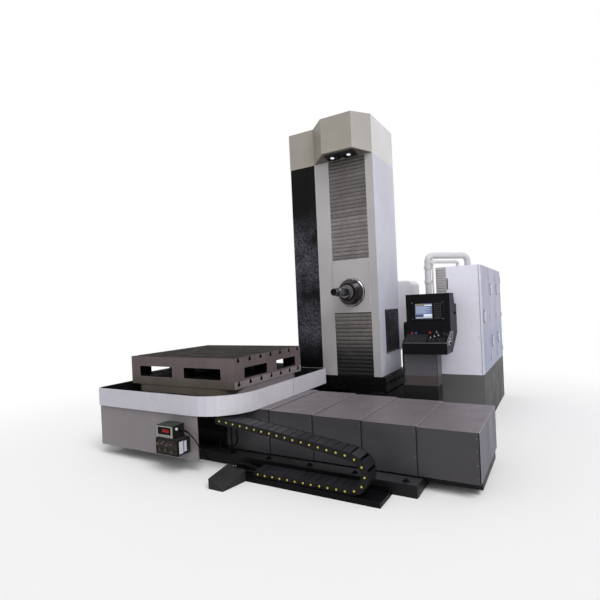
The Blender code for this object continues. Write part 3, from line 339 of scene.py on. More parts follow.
def group_settled_dust():
    tree, ins, outs = new_group(
        "Settled dust", {"Amount": ("Float", 0.3), "Scale": ("Float", 4.0)}, {"Mask": "Float"}
    )
    upward = part_of(tree, tree.nodes.new("ShaderNodeNewGeometry").outputs["Normal"], "Z")
    facing = remap(tree, upward, 0.35, 0.95)
    cloud = remap(tree, noise(tree, surface_place(tree), ins["Scale"], 6.0, 0.65), 0.25, 0.75)
    tree.links.new(times(tree, times(tree, facing, cloud), ins["Amount"], True), outs["Mask"])
    return tree


def group_run_marks():
    tree, ins, outs = new_group(
        "Run marks", {"Amount": ("Float", 0.3), "Spread": ("Float", 30.0)}, {"Mask": "Float"}
    )
    place = surface_place(tree)
    lanes = remap(tree, noise(tree, stretched(tree, place, 0.04), ins["Spread"], 4.0, 0.7), 0.52, 0.72)
    breaks = remap(tree, noise(tree, place, 2.2, 3.0, 0.5), 0.35, 0.7)
    tree.links.new(times(tree, times(tree, lanes, breaks), ins["Amount"], True), outs["Mask"])
    return tree


EFFECTS.update(wear=group_edge_wear(), dust=group_settled_dust(), runs=group_run_marks())
print("effects in all:", len(EFFECTS))

# %% [markdown]
# ## Skin of the paint and lines of the grinding wheel
# Sprayed paint has a fine skin like that of an orange, over slow waves in the filler.  Ground
# steel has fine lines in one direction instead, which come from noise squeezed across them.

# %% Skin and lines
def group_paint_skin():
    tree, ins, outs = new_group(
        "Paint skin", {"Scale": ("Float", 220.0), "Waves": ("Float", 3.0)}, {"Height": "Float"}
    )
    place = surface_place(tree)
    peel = noise(tree, place, ins["Scale"], 2.0, 0.5)
    waves = noise(tree, place, ins["Waves"], 2.0, 0.5)
    tree.links.new(maths(tree, "ADD", peel, times(tree, waves, 4.0)), outs["Height"])
    return tree


def group_grinding_lines():
    tree, ins, outs = new_group(
        "Grinding lines",
        {"Along": ("Vector", (1.0, 60.0, 60.0)), "Scale": ("Float", 8.0)},
        {"Lines": "Float", "Height": "Float"},
    )
    place = vector_maths(tree, "MULTIPLY", n0=surface_place(tree), n1=ins["Along"])
    lines = noise(tree, place, ins["Scale"], 4.0, 0.7)
    tree.links.new(remap(tree, lines, 0.3, 0.7), outs["Lines"])
    tree.links.new(lines, outs["Height"])
    return tree


EFFECTS.update(skin=group_paint_skin(), lines=group_grinding_lines())
print("effects in all:", len(EFFECTS))

# %% [markdown]
# ## Masks by direction and by piece
# One solid often shows two tones, such as a grey panel with a lighter right side.  Such lighter
# and darker sides are painted light and painted shade, laid on by direction.  The object's own
# normal tells the sides apart, and it stays right when the machine moves.  A second mask gives
# each closed piece of a mesh a steady random value, so that no two slats have quite one tone.

# %% Direction and piece
FACING_RAMP = (0.75, 0.9)
FACING_OWN_RAMP = {"Left": (0.3, 0.6), "Turning": (0.0, 1.0)}


def own_normal(tree):
    return tree.nodes.new("ShaderNodeTexCoord").outputs["Normal"]


def group_facing():
    """How squarely a surface faces up, to the right, to the left, or along X or Y, in the machine's own frame."""
    sockets = ("Up", "Right", "Left", "Turning", "Ends", "Sides")
    tree, _, outs = new_group("Facing", {}, dict.fromkeys(sockets, "Float"))
    split = add_node(tree, "ShaderNodeSeparateXYZ", {}, Vector=own_normal(tree)).outputs
    left = times(tree, split["X"], -1.0)
    ends, sides = maths(tree, "ABSOLUTE", split["X"]), maths(tree, "ABSOLUTE", split["Y"])
    for socket, size in zip(sockets, (split["Z"], split["X"], left, split["X"], ends, sides)):
        low, high = FACING_OWN_RAMP.get(socket, FACING_RAMP)
        tree.links.new(remap(tree, size, low, high), outs[socket])
    return tree


def group_piece_tone():
    """A steady random value for each closed piece of a mesh, such as one slat or one link."""
    tree, _, outs = new_group("Piece tone", {}, {"Mask": "Float"})
    island = tree.nodes.new("ShaderNodeNewGeometry").outputs["Random Per Island"]
    tree.links.new(remap(tree, island, 0.0, 1.0), outs["Mask"])
    return tree


EFFECTS.update(facing=group_facing(), piece=group_piece_tone())
print("outputs of the facing mask:", [item.name for item in EFFECTS["facing"].interface.items_tree])

# %% [markdown]
# ## Masks by place
# The inside of a slot is painted dark, and so is the inside of a tray, while the outside is
# left clean: this darkening is painted shade.  These masks read the place on the machine: inside a
# box, on a wall that looks at the tray's middle, or between two heights.

# %% Boxes and inner walls
BOX_FADE = 0.004


def group_inside_box():
    """One within a box, fading out over a few millimetres, to paint shade into the inside of slots and windows."""
    vectors = {"Low": ("Vector", (0, 0, 0)), "High": ("Vector", (1, 1, 1))}
    tree, ins, outs = new_group("Inside a box", vectors, {"Mask": "Float"})
    place = surface_place(tree)
    mask = 1.0
    for first, second in ((place, ins["Low"]), (ins["High"], place)):
        depth = vector_maths(tree, "SUBTRACT", n0=first, n1=second)
        split = add_node(tree, "ShaderNodeSeparateXYZ", {}, Vector=depth).outputs
        for part in "XYZ":
            mask = times(tree, mask, remap(tree, split[part], 0.0, BOX_FADE))
    tree.links.new(mask, outs["Mask"])
    return tree


def group_inner_wall():
    """One on walls that face a centre line, as the inside of a tray does, and on a floor below a height."""
    inputs = {"Centre": ("Vector", (0, 0, 0)), "Floor": ("Float", 0.65)}
    tree, ins, outs = new_group("Inner wall", inputs, {"Mask": "Float"})
    out_from = vector_maths(tree, "SUBTRACT", n0=surface_place(tree), n1=ins["Centre"])
    level = stretched(tree, out_from, 0.0)
    normal = own_normal(tree)
    inward = remap(tree, vector_maths(tree, "DOT_PRODUCT", "Value", n0=level, n1=normal), -0.05, -0.2)
    low = maths(tree, "LESS_THAN", part_of(tree, surface_place(tree), "Z"), ins["Floor"])
    upward = maths(tree, "GREATER_THAN", part_of(tree, normal, "Z"), 0.5)
    tree.links.new(maths(tree, "MAXIMUM", inward, times(tree, low, upward)), outs["Mask"])
    return tree


EFFECTS.update(box=group_inside_box(), inner=group_inner_wall())
print("effects in all:", len(EFFECTS))

# %% [markdown]
# ## Masks by height
# A band has two sharp limits, a fade rises between two heights with a ragged edge, and the painted
# highlights are clouds of pale marks on the black side of the column that stand in for its mottled reflections.

# %% Bands, fades and painted highlights
RAGGED = (9.0, 0.12)


def group_height_band():
    """One between two heights."""
    tree, ins, outs = new_group("Height band", {"Low": ("Float", 0.0), "High": ("Float", 1.0)}, {"Mask": "Float"})
    height = part_of(tree, surface_place(tree), "Z")
    above = maths(tree, "GREATER_THAN", height, ins["Low"])
    tree.links.new(times(tree, above, maths(tree, "LESS_THAN", height, ins["High"])), outs["Mask"])
    return tree


def group_height_fade():
    """Rises smoothly from nothing at one height to one at another, which may lie below it."""
    inputs = {"From": ("Float", 0.0), "To": ("Float", 1.0), "Right only": ("Float", 0.0)}
    tree, ins, outs = new_group("Height fade", inputs, {"Mask": "Float"})
    rough = maths(tree, "SUBTRACT", noise(tree, surface_place(tree), RAGGED[0]), 0.5)
    height = maths(tree, "ADD", part_of(tree, surface_place(tree), "Z"), times(tree, rough, RAGGED[1]))
    fade = remap(tree, height, ins["From"], ins["To"])
    side = remap(tree, part_of(tree, own_normal(tree), "X"), *FACING_RAMP)
    keep = maths(tree, "MAXIMUM", side, maths(tree, "SUBTRACT", 1.0, ins["Right only"]))
    tree.links.new(times(tree, fade, keep), outs["Mask"])
    return tree


def group_scuffs():
    """Clouds of fine pale painted highlight between two heights, standing in for mottled reflections on a black enamel.
    """
    inputs = {"Fine": ("Float", 30.0), "Coarse": ("Float", 2.6), "Low": ("Float", 0.85), "High": ("Float", 3.05)}
    tree, ins, outs = new_group("Painted highlights", inputs, {"Mask": "Float"})
    place = surface_place(tree)
    height = part_of(tree, place, "Z")
    above = remap(tree, maths(tree, "SUBTRACT", height, ins["Low"]), 0.0, 0.5)
    below = remap(tree, maths(tree, "SUBTRACT", ins["High"], height), 0.0, 0.6)
    fine = remap(tree, noise(tree, place, ins["Fine"], 5.0, 0.8), 0.32, 0.72)
    clouds = remap(tree, noise(tree, place, ins["Coarse"], 4.0, 0.6), 0.30, 0.60)
    tree.links.new(times(tree, times(tree, fine, clouds), times(tree, above, below)), outs["Mask"])
    return tree


EFFECTS.update(band=group_height_band(), fade=group_height_fade(), scuffs=group_scuffs())
print("effect groups:", sorted(tree.name for tree in EFFECTS.values()))

# %% [markdown]
# ## The finishes
# One function lays up a painted or bare surface from the shared effects: the colour drifts, runs
# and dust lie over it, worn edges show what is beneath, and the gloss and the skin follow.  Each
# finish is then one entry of numbers, which keeps some forty of them easy to compare.  A dark
# satin paint needs a low specular level, or the white room washes it out.

# %% Build a finish
SCREEN_CUT = 0.04045
BUMP_STRENGTH = 0.35
FINISHES = {}


def use_effect(tree, effect, **sockets):
    return add_node(tree, "ShaderNodeGroup", {"node_tree": EFFECTS[effect]}, **sockets).outputs


def rgba(colour):
    """A colour written as it looks on the screen (0 to 255 in hex), turned into linear light."""
    parts = [int(colour[i:i + 2], 16) / 255 for i in (0, 2, 4)]
    linear = [p / 12.92 if p <= SCREEN_CUT else ((p + 0.055) / 1.055) ** 2.4 for p in parts]
    return (*linear, 1.0)


def finish_colour(tree, colour, tone, layers, grain, lines, coats):
    """The colour of a finish: layers of paint, drift, grinding lines, then runs, dust and wear in turn."""
    shown = rgba(colour)
    for effect, sockets, output, over, amount in layers:
        mask = times(tree, use_effect(tree, effect, **sockets)[output], amount)
        shown = mix_colour(tree, mask, shown, rgba(over))
    shown = use_effect(tree, "tone", Colour=shown, Amount=tone[0], Scale=tone[1])["Colour"]
    if lines:
        shown = mix_colour(tree, times(tree, grain["Lines"], lines[2]), shown, rgba(lines[3]))
    for effect, (over, amount), sockets in coats:
        if amount:
            mask = use_effect(tree, effect, Amount=amount, **sockets)["Mask"]
            shown = mix_colour(tree, mask, shown, rgba(over))
    return shown


def make_finish(name, colour, gloss=(0.35, 0.5), metal=0.0, specular=0.4, tone=(0.06, 1.5),
                runs=("1a1a1c", 0.15), dust=("8d8a86", 0.12), wear=("8a8784", 0.25), wear_width=0.004,
                skin=0.0003, lines=None, glow=0.0, layers=()):
    material = bpy.data.materials.new(name)
    material.use_nodes = True
    tree = material.node_tree
    shader = tree.nodes["Principled BSDF"]
    grain = use_effect(tree, "lines", Along=lines[0], Scale=lines[1]) if lines else use_effect(tree, "skin")
    coats = [("runs", runs, {}), ("dust", dust, {}), ("wear", wear, {"Width": wear_width})]
    shown = finish_colour(tree, colour, tone, layers, grain, lines, coats)
    tree.links.new(shown, shader.inputs["Base Color"])
    tree.links.new(use_effect(tree, "gloss", Low=gloss[0], High=gloss[1])["Roughness"], shader.inputs["Roughness"])
    bump = add_node(tree, "ShaderNodeBump", {}, Strength=BUMP_STRENGTH, Distance=skin, Height=grain["Height"])
    tree.links.new(bump.outputs[0], shader.inputs["Normal"])
    shader.inputs["Metallic"].default_value = metal
    shader.inputs["Specular IOR Level"].default_value = specular
    if glow:
        tree.links.new(shown, shader.inputs["Emission Color"])
        shader.inputs["Emission Strength"].default_value = glow
    return material


def add_finishes(table):
    """Makes every finish of a table {slot: (name, colour, gloss, the rest by name)} and prints the slots."""
    for slot, (name, colour, gloss, rest) in table.items():
        FINISHES[slot] = make_finish(name, colour, gloss, **rest)
    print("finishes:", list(table))


def toward(socket, colour):
    """A layer that covers the faces that look one way."""
    return ("facing", {}, socket, colour, 1.0)


print("a mid grey in linear light:", round(rgba("808080")[0], 3))

# %% [markdown]
# ## Castings and bare iron
# The column and the beds are black enamel over rough castings, so they drift strongly in tone.  The
# pale clouds on the column are painted highlights, and the bed's lighter copy of the enamel, with a
# lighter top, is painted light.  The table and the riser are ground iron: pale on the sides, dark
# with oil on top, and nearly black inside the slots and windows, which two boxes mark out; that
# black is painted shade.  The table's lighter right side is painted light.

# %% Castings and iron
TABLE_X, TABLE_HALF_X, TABLE_HALF_Y = -1.505, 0.8035, 0.6885


def table_inside(low, high):
    return {"Low": (TABLE_X - TABLE_HALF_X, -TABLE_HALF_Y, low), "High": (TABLE_X + TABLE_HALF_X, TABLE_HALF_Y, high)}


# the near-black inside these boxes is painted shade in the slots and windows
RISER_SHADE_BOX = table_inside(0.885, 1.1325)
PLATE_SHADE_BOX = table_inside(0.812, 0.8800)
add_finishes({
    # the pale clouds on the black enamel are painted highlights for its mottled reflections
    "black_casting": ("black_enamel", "0c0c0e", (0.3, 0.5), dict(
        specular=0.06, tone=(0.3, 2.0), runs=("232328", 0.3), dust=("202024", 0.2),
        wear=("4c4b4e", 0.3), layers=[("scuffs", {}, "Mask", "7b7c88", 0.6)])),
    # the bed's enamel is a lighter copy of the black enamel, and its lighter top is painted light
    "bed_black": ("bed_enamel", "1c1c1e", (0.35, 0.5), dict(
        specular=0.08, tone=(0.3, 2.0), runs=("29292c", 0.3), dust=("2b2b2e", 0.25),
        wear=("57565a", 0.3), layers=[toward("Up", "3a3a3c")])),
    "duct_black": ("duct_enamel", "29292a", (0.35, 0.5), dict(
        specular=0.08, tone=(0.3, 3.0), runs=("1a1a1c", 0.3), dust=("39393b", 0.25),
        wear=("57565a", 0.3))),
    "ground_iron": ("ground_iron", "665b5c", (0.6, 0.8), dict(
        specular=0.05, tone=(0.12, 3.0), runs=("241f1d", 0.25), dust=("2a2624", 0.1),
        wear=("8d8986", 0.35), skin=0.0002,
        layers=[toward("Up", "171412"), ("box", RISER_SHADE_BOX, "Mask", "0c0a0a", 1.0)])),
    # table: the lighter right side is painted light
    "table_iron": ("table_iron", "5b564f", (0.5, 0.7), dict(
        specular=0.1, tone=(0.12, 3.0), runs=("241f1d", 0.25), dust=("35312e", 0.15),
        wear=("8d8986", 0.35), skin=0.0002,
        layers=[toward("Right", "857d80"), toward("Up", "2c2825"),
                   ("box", PLATE_SHADE_BOX, "Mask", "0e0c0b", 1.0)])),
})

# %% [markdown]
# ## Sheet panels
# The sheet metal is painted in pale greys and lavender.  Its right side is often made lighter or
# darker than its front, and the way covers' sides and ends darker than their tops; these
# differences are painted light and painted shade.  One mask by direction does the work of a second
# material, and no faces have to be picked.  The tray is painted dark inside, and the side panel
# fades darker toward the floor; both are painted shade.  The drive cover's finish is a lighter copy
# of the panel grey, which is painted light.

# %% Sheet panels
# the tray's inner walls and floor, painted dark as shade
TRAY_SHADE = {"Centre": (-1.5, 0.0, 0.0), "Floor": 0.65}
# fade that paints shade toward the floor on right-facing sides
LOW_SHADE_FADE = {"From": 1.55, "To": 0.95, "Right only": 1.0}
add_finishes({
    # way covers: the darker sides and ends are painted shade; the tops keep the plain grey
    "cover_grey": ("way_cover_steel", "6e686c", (0.32, 0.48), dict(
        specular=0.3, tone=(0.05, 1.2), runs=("39373a", 0.25), dust=("8a8688", 0.1),
        wear=("a9a6a8", 0.5), layers=[toward("Sides", "3a383b"), toward("Ends", "474352")])),
    # tray: the lighter right-facing walls are painted light, and the near-black inside is painted shade
    "tray_enamel": ("tray_enamel", "b2b0ba", (0.3, 0.45), dict(
        specular=0.3, runs=("8d8a90", 0.15), dust=("9b9898", 0.2), wear=("8a888e", 0.3),
        layers=[toward("Turning", "cac7cf"), ("inner", TRAY_SHADE, "Mask", "161615", 1.0)])),
    "apron_grey": ("guard_grey", "777273", (0.35, 0.5), dict(
        specular=0.3, runs=("5a5657", 0.2), wear=("a5a2a3", 0.3))),
    # panel grey: the lighter lavender right side is painted light
    "light_panel": ("panel_grey", "a9a6a8", (0.35, 0.5), dict(
        specular=0.3, runs=("8b8888", 0.12), wear=("85827f", 0.25), layers=[toward("Right", "c4c4d1")])),
    # lavender panel: the darker right side and its fade toward the floor are painted shade
    "side_panel": ("panel_lavender", "e2e1ee", (0.35, 0.5), dict(
        specular=0.3, runs=("a3a2ac", 0.12), wear=("8d8c94", 0.25),
        layers=[toward("Right", "9c9bb0"), ("fade", LOW_SHADE_FADE, "Mask", "8389a5", 0.85)])),
    # drive cover: a lighter copy of the panel grey, which is painted light
    "drive_grey_painted_light": ("drive_grey_painted_light", "e6e4e8", (0.35, 0.5), dict(
        specular=0.3, runs=("a9a7ab", 0.12), wear=("98969a", 0.25))),
    # cap: the darker left side is painted shade and the light right side is painted light
    "cap_paint": ("cap_grey", "959088", (0.3, 0.45), dict(
        specular=0.3, runs=("857f78", 0.12), wear=("7c776e", 0.25),
        layers=[toward("Left", "857f75"), toward("Right", "d2d0d1")])),
    # soffit under the hood: a darker sheet that is painted shade
    "soffit": ("soffit_painted_shade", "66615b", (0.5, 0.65), dict(
        specular=0.2, runs=("2c2926", 0.2), wear=("5d5751", 0.2))),
    # plinth: the darker right side is painted shade
    "plinth_grey": ("plinth_grey", "646464", (0.4, 0.55), dict(
        specular=0.08, runs=("3a3a3a", 0.2), wear=("8a8a8a", 0.3), layers=[toward("Right", "3c3b3b")])),
    # stand: the near-black band below 0.60 m is painted shade; the band above it is a brownish strip
    "stand_grey": ("stand_grey", "5a585e", (0.4, 0.55), dict(
        specular=0.25, runs=("2c2b2e", 0.2), wear=("77757b", 0.3),
        layers=[("band", {"Low": 0.60, "High": 0.722}, "Mask", "4c4645", 1.0),
                   ("band", {"Low": -1.0, "High": 0.60}, "Mask", "161618", 1.0)])),
    "white_tube": ("conduit_white", "c6c5c8", (0.3, 0.45), dict(
        specular=0.3, runs=("98979a", 0.2), wear=("8d8c90", 0.3))),
})

# %% [markdown]
# ## Steel, chain and rubber
# Turned steel has lines round it and rubs bright at its edges, while the slats differ a little in
# tone from one to the next and darken toward both ends of the curtain, which is painted shade under
# the hood and at the foot.  The chain is black plastic with slightly glossier lids.

# %% Steel, chain and rubber
NO_RUNS = {"runs": ("1a1a1c", 0.0)}
NO_DUST = {**NO_RUNS, "dust": ("555555", 0.0)}
SPOTLESS = {**NO_DUST, "wear": ("555555", 0.0)}
TURNED_LINES = (60.0, 4.0, 60.0)
GROUND_LINES = (1.0, 60.0, 60.0)
# slats: random tone per slat; the two fades toward the curtain ends are painted shade
SLAT_LAYERS = [("piece", {}, "Mask", "5f5a59", 0.8),
               ("fade", {"From": 2.75, "To": 3.15}, "Mask", "524e4d", 0.7),
               ("fade", {"From": 1.42, "To": 0.85}, "Mask", "1b1a1b", 1.0)]
add_finishes({
    "bright_steel": ("bright_steel", "b8b8ba", (0.12, 0.25), dict(
        **NO_DUST, metal=1.0, tone=(0.05, 6.0), wear=("ffffff", 0.3), skin=0.0001,
        lines=(GROUND_LINES, 6.0, 0.3, "8a8a8c"))),
    "edge_steel": ("edge_steel", "aaa5a8", (0.3, 0.45), dict(
        metal=0.3, tone=(0.08, 6.0), runs=("5a5759", 0.3), dust=("777375", 0.1),
        wear=("dddddd", 0.3))),
    "slat_steel": ("slat_steel", "726e6d", (0.35, 0.55), dict(
        metal=0.25, specular=0.25, tone=(0.35, 1.6), runs=("2c2a29", 0.2), wear=("a5a2a0", 0.35),
        layers=SLAT_LAYERS)),
    "nose_steel": ("nose_steel", "646267", (0.10, 0.22), dict(
        metal=1.0, tone=(0.15, 8.0), runs=("1a1a1c", 0.2), dust=("2a2826", 0.1),
        wear=("e2e2e4", 0.7), wear_width=0.002, skin=0.0001, lines=(TURNED_LINES, 5.0, 0.3, "4a484c"))),
    "dark_chrome": ("dark_chrome", "3f3c40", (0.10, 0.24), dict(
        metal=1.0, tone=(0.2, 8.0), runs=("1a1a1c", 0.2), dust=("2a2826", 0.2),
        wear=("dadadc", 0.8), wear_width=0.002, skin=0.0001, lines=(TURNED_LINES, 5.0, 0.5, "1c1b1d"))),
    "dark_groove": ("dark_groove", "1c1815", (0.3, 0.45), dict(
        metal=0.6, specular=0.2, tone=(0.3, 8.0), runs=("0e0d0c", 0.2), wear=("6a625c", 0.5),
        wear_width=0.0015)),
    "bronze": ("bronze", "5d4638", (0.3, 0.45), dict(
        metal=0.7, tone=(0.2, 30.0), wear=("a08870", 0.4), wear_width=0.001)),
    "chain_plastic": ("chain_black", "111113", (0.35, 0.5), dict(
        specular=0.15, tone=(0.12, 4.0), dust=("26262a", 0.2), wear=("35353a", 0.3))),
    "chain_lid": ("chain_lid", "1d1d22", (0.3, 0.45), dict(
        specular=0.25, tone=(0.2, 4.0), dust=("3c3b44", 0.3), wear=("3f3f47", 0.3))),
    "pin_yellow": ("pin_yellow", "b7a83c", (0.35, 0.5), dict(
        **NO_RUNS, tone=(0.15, 30.0), dust=("56555a", 0.2), wear=("e0d890", 0.3), wear_width=0.001)),
    "rubber": ("black_rubber", "121213", (0.5, 0.65), dict(
        specular=0.04, tone=(0.1, 6.0), runs=("2a2a2a", 0.1), wear=("2e2e2e", 0.2))),
})

# %% [markdown]
# ## Pendant, lamps and lubrication unit
# Keys and caps are small, so their edges wear over a millimetre and not over four.  Screens,
# figures and lamp lenses glow a little in their own colour, which keeps them lit in any light.

# %% Pendant, lamps and unit
CAP_WEAR = {**NO_RUNS, "tone": (0.08, 20.0), "dust": ("555555", 0.1), "wear_width": 0.001}
SCREEN_INK = {**SPOTLESS, "specular": 0.3, "tone": (0.03, 8.0)}
add_finishes({
    # pendant: the lighter right side is painted light
    "pendant_black": ("pendant_black", "111115", (0.4, 0.55), dict(
        specular=0.06, tone=(0.1, 3.0), dust=("1a1a1f", 0.15), wear=("2c2c32", 0.3),
        layers=[toward("Right", "2b2b33")])),
    "key_grey": ("key_grey", "2a2a2f", (0.45, 0.6), dict(
        **NO_DUST, specular=0.15, wear=("5c5c60", 0.4), wear_width=0.001,
        layers=[("piece", {}, "Mask", "44444b", 0.7)])),
    "screen_glass": ("screen_picture", "6f7ca4", (0.08, 0.15), dict(
        **SPOTLESS, specular=0.2, tone=(0.06, 30.0), skin=0.0, glow=0.15)),
    "screen_white": ("screen_white", "d5dbe4", (0.1, 0.2), dict(**SCREEN_INK, glow=0.3)),
    "screen_yellow": ("screen_yellow", "8b8152", (0.1, 0.2), dict(**SCREEN_INK, glow=0.2)),
    "screen_dark": ("screen_dark", "1c2233", (0.1, 0.2), SCREEN_INK),
    "signal_red": ("signal_red", "a8201c", (0.3, 0.45), dict(**CAP_WEAR, wear=("d0605a", 0.3))),
    "signal_blue": ("signal_blue", "3050a0", (0.3, 0.45), dict(**CAP_WEAR, wear=("7090d0", 0.3))),
    "lamp_housing": ("lamp_housing", "232326", (0.3, 0.45), dict(specular=0.2, wear=("56565a", 0.3))),
    "lamp_lens": ("lamp_lens", "f2f2f0", (0.1, 0.2), dict(**SPOTLESS, tone=(0.04, 20.0), glow=0.8)),
    "display_red": ("display_red", "e02a22", (0.2, 0.3), dict(**SPOTLESS, tone=(0.08, 40.0), glow=0.6)),
    "unit_green": ("unit_green", "1c2a22", (0.35, 0.5), dict(specular=0.15, wear=("55665e", 0.3))),
    "unit_dark": ("unit_dark", "1e1c1b", (0.4, 0.55), dict(
        specular=0.15, tone=(0.25, 12.0), runs=("3c2a26", 0.5), wear=("6b6763", 0.4),
        wear_width=0.002)),
    "unit_bezel": ("unit_bezel", "8d8c87", (0.4, 0.55), dict(
        specular=0.2, wear=("5d5b57", 0.4), wear_width=0.002)),
})
print("finishes in all:", len(FINISHES))

# %% [markdown]
# ## Dressing the solids
# The record names a finish slot for each solid, so a loop is enough: each solid gets the material
# of its slot.  The few solids that are replaced by detailed pieces are hidden later, when the
# piece that stands for them is made.

# %% Give each solid its finish
SLOT_OF = {part["node"]: part["material_slot"] for part in frame["record"]["subparts"]}
# the bed's finish is a lighter copy of the black enamel: painted light
# the drive cover's finish is a lighter copy of the panel grey: painted light
OWN_FINISH = {"drive_cover": "drive_grey_painted_light", "x_bed": "bed_black", "cable_duct": "duct_black",
              "rotary_table": "table_iron", "pendant_stand": "stand_grey", "lubrication_unit": "unit_dark"}
for name, solid in frame["nodes"].items():
    slot = OWN_FINISH.get(name, SLOT_OF.get(name))
    if slot in FINISHES:
        solid.data.materials.clear()
        solid.data.materials.append(FINISHES[slot])
print("solids without a finish:", [n for n in frame["nodes"] if SLOT_OF.get(n) not in FINISHES])

# %% [markdown]
# ## Tools for the fine pieces
# Every piece below is built from a few closed forms in one bmesh: slabs, outlines pushed along an
# axis, and profiles turned about an axis.  Many small copies, such as bolts, stay in one mesh,
# which keeps the scene light.  A piece is then given its finish, its shading is split at sharp
# corners, and it is told which part of the machine carries it.

# %% Mesh helpers
SHARP_CORNER = math.radians(32)


def at(axis, a, b, along):
    """The point that lies at along on an axis, with the two other coordinates a and b in order."""
    return {"x": Vector((along, a, b)), "y": Vector((a, along, b)), "z": Vector((a, b, along))}[axis]


def bridge(bm, rings, hollow=False):
    """Closed skin over a row of rings of points.  One point makes a tip, and hollow joins last to first."""
    rows = [[bm.verts.new(point) for point in ring] for ring in rings]
    if hollow:
        rows.append(rows[0])
    for first, second in zip(rows, rows[1:]):
        count = max(len(first), len(second))
        for i in range(count):
            j = (i + 1) % count
            if len(first) == 1:
                bm.faces.new((first[0], second[j], second[i]))
            elif len(second) == 1:
                bm.faces.new((first[i], first[j], second[0]))
            else:
                bm.faces.new((first[i], first[j], second[j], second[i]))
    if not hollow:
        for row in (rows[0], rows[-1]):
            if len(row) > 2:
                bm.faces.new(row)


def prism(bm, outline, axis, low, high):
    """A flat outline pushed along an axis from low to high."""
    bridge(bm, [[at(axis, a, b, along) for a, b in outline] for along in (low, high)])


def slab(bm, low, high):
    """A closed block between two corners."""
    prism(bm, [(low[0], low[1]), (high[0], low[1]), (high[0], high[1]), (low[0], high[1])], "z", low[2], high[2])


def circle(radius, steps, centre=(0.0, 0.0), start=0.0):
    turn = [start + math.tau * i / steps for i in range(steps)]
    return [(centre[0] + radius * math.cos(t), centre[1] + radius * math.sin(t)) for t in turn]


def lathe(bm, axis, centre, profile, steps=48, hollow=False):
    """Turns a profile of (place along the axis, radius) about an axis through centre; radius 0 is a tip."""
    rings = []
    for along, radius in profile:
        if radius <= 0:
            rings.append([at(axis, *centre, along)])
        else:
            rings.append([at(axis, a, b, along) for a, b in circle(radius, steps, centre)])
    bridge(bm, rings, hollow)


def turn_all(bm, first, matrix):
    """Applies a matrix to every vertex made since the mesh had first vertices."""
    bm.verts.ensure_lookup_table()
    for vertex in bm.verts[first:]:
        vertex.co = matrix @ vertex.co


def settle(name, bm, finish, body, slot=None, bevel=0.0, segments=2):
    """Turns a bmesh into a finished piece that rides on a body of the machine."""
    bmesh.ops.recalc_face_normals(bm, faces=bm.faces)
    mesh = bpy.data.meshes.new(name)
    bm.to_mesh(mesh)
    bm.free()
    mesh.shade_smooth()
    mesh.set_sharp_from_angle(angle=SHARP_CORNER)
    piece = link(bpy.data.objects.new(name, mesh))
    mesh.materials.append(FINISHES[finish])
    if bevel:
        edge = piece.modifiers.new("edge", "BEVEL")
        edge.width, edge.segments, edge.limit_method = bevel, segments, "ANGLE"
        edge.harden_normals = True
    if body:
        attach(piece, body)
    return piece


HEAD_SIDES = 18
HEAD_RIM, HEAD_HOLE, HEAD_FLOOR = 0.88, 0.52, 0.45


def bolt(bm, axis, centre, base, height, radius, out=1):
    """Socket head screw that stands on base and points along out: a chamfered head with a six-sided hole."""
    top = base + out * height
    rim = radius * HEAD_RIM
    floor = base + out * height * HEAD_FLOOR
    outside = circle(radius, HEAD_SIDES, centre)
    rings = [(base, outside), (top - out * (radius - rim), outside), (top, circle(rim, HEAD_SIDES, centre))]
    hexagon = [p for i in range(6) for p in _six_edge(radius * HEAD_HOLE, centre, i)]
    rings += [(top, hexagon), (floor, hexagon)]
    bridge(bm, [[at(axis, a, b, along) for a, b in ring] for along, ring in rings])


def _six_edge(radius, centre, side):
    """Three points on one edge of a hexagon, so that it joins a ring of eighteen."""
    a, b = (math.tau * (side + k) / 6 for k in (0, 1))
    start = Vector((math.cos(a), math.sin(a))) * radius
    end = Vector((math.cos(b), math.sin(b))) * radius
    return [tuple(Vector(centre) + start.lerp(end, k / 3)) for k in range(3)]


def spaced(low, high, count):
    return [low + (high - low) * i / (count - 1) for i in range(count)]


def grid(first, second):
    """Every number of the first row paired with every number of the second."""
    return [(a, b) for a in first for b in second]


def plates(name, finish, body, boxes, bevel=0.0, slot=None):
    """One piece made of several blocks, each given by its two corners."""
    bm = bmesh.new()
    for low, high in boxes:
        slab(bm, low, high)
    return settle(name, bm, finish, body, slot, bevel)


def screws(name, body, axis, base, places, radius, height, out=1, finish="bright_steel"):
    """One piece made of many socket head screws on a flat face."""
    bm = bmesh.new()
    for place in places:
        bolt(bm, axis, place, base, height, radius, out)
    return settle(name, bm, finish, body)


KNOB_EDGE = 0.25


def knob(bm, axis, centre, base, radius, height, out=1, steps=20):
    """Round knob or button with a cut edge, standing on base."""
    edge = radius * KNOB_EDGE
    lathe(bm, axis, centre, [(base, 0.0), (base, radius), (base + out * (height - edge), radius),
                             (base + out * height, radius - edge), (base + out * height, 0.0)], steps)


print("sides of a screw head:", HEAD_SIDES)

# %% [markdown]
# ## Slatted way covers
# Steel slats hang above and below the headstock and keep chips off the column's ways.  Each slat
# is a closed strip with rolled edges, and a rubber backing shows as a dark line between two.
# The curtain has to shorten as the headstock climbs, but here it is one fixed mesh, and every slat
# is an island that can have its own tone.

# %% Slat curtains
CURTAIN_X = (-0.366, 0.162)
CURTAIN_FRONT = 1.1035
CURTAIN_BACK = 1.1165
SLAT_DEPTH = 0.008
SLAT_PITCH = 0.0524
SLAT_GAP = 0.0038
SLAT_ROLL = 0.004
SLAT_LEAN = 0.0022
BACKING_GAP = 0.0002


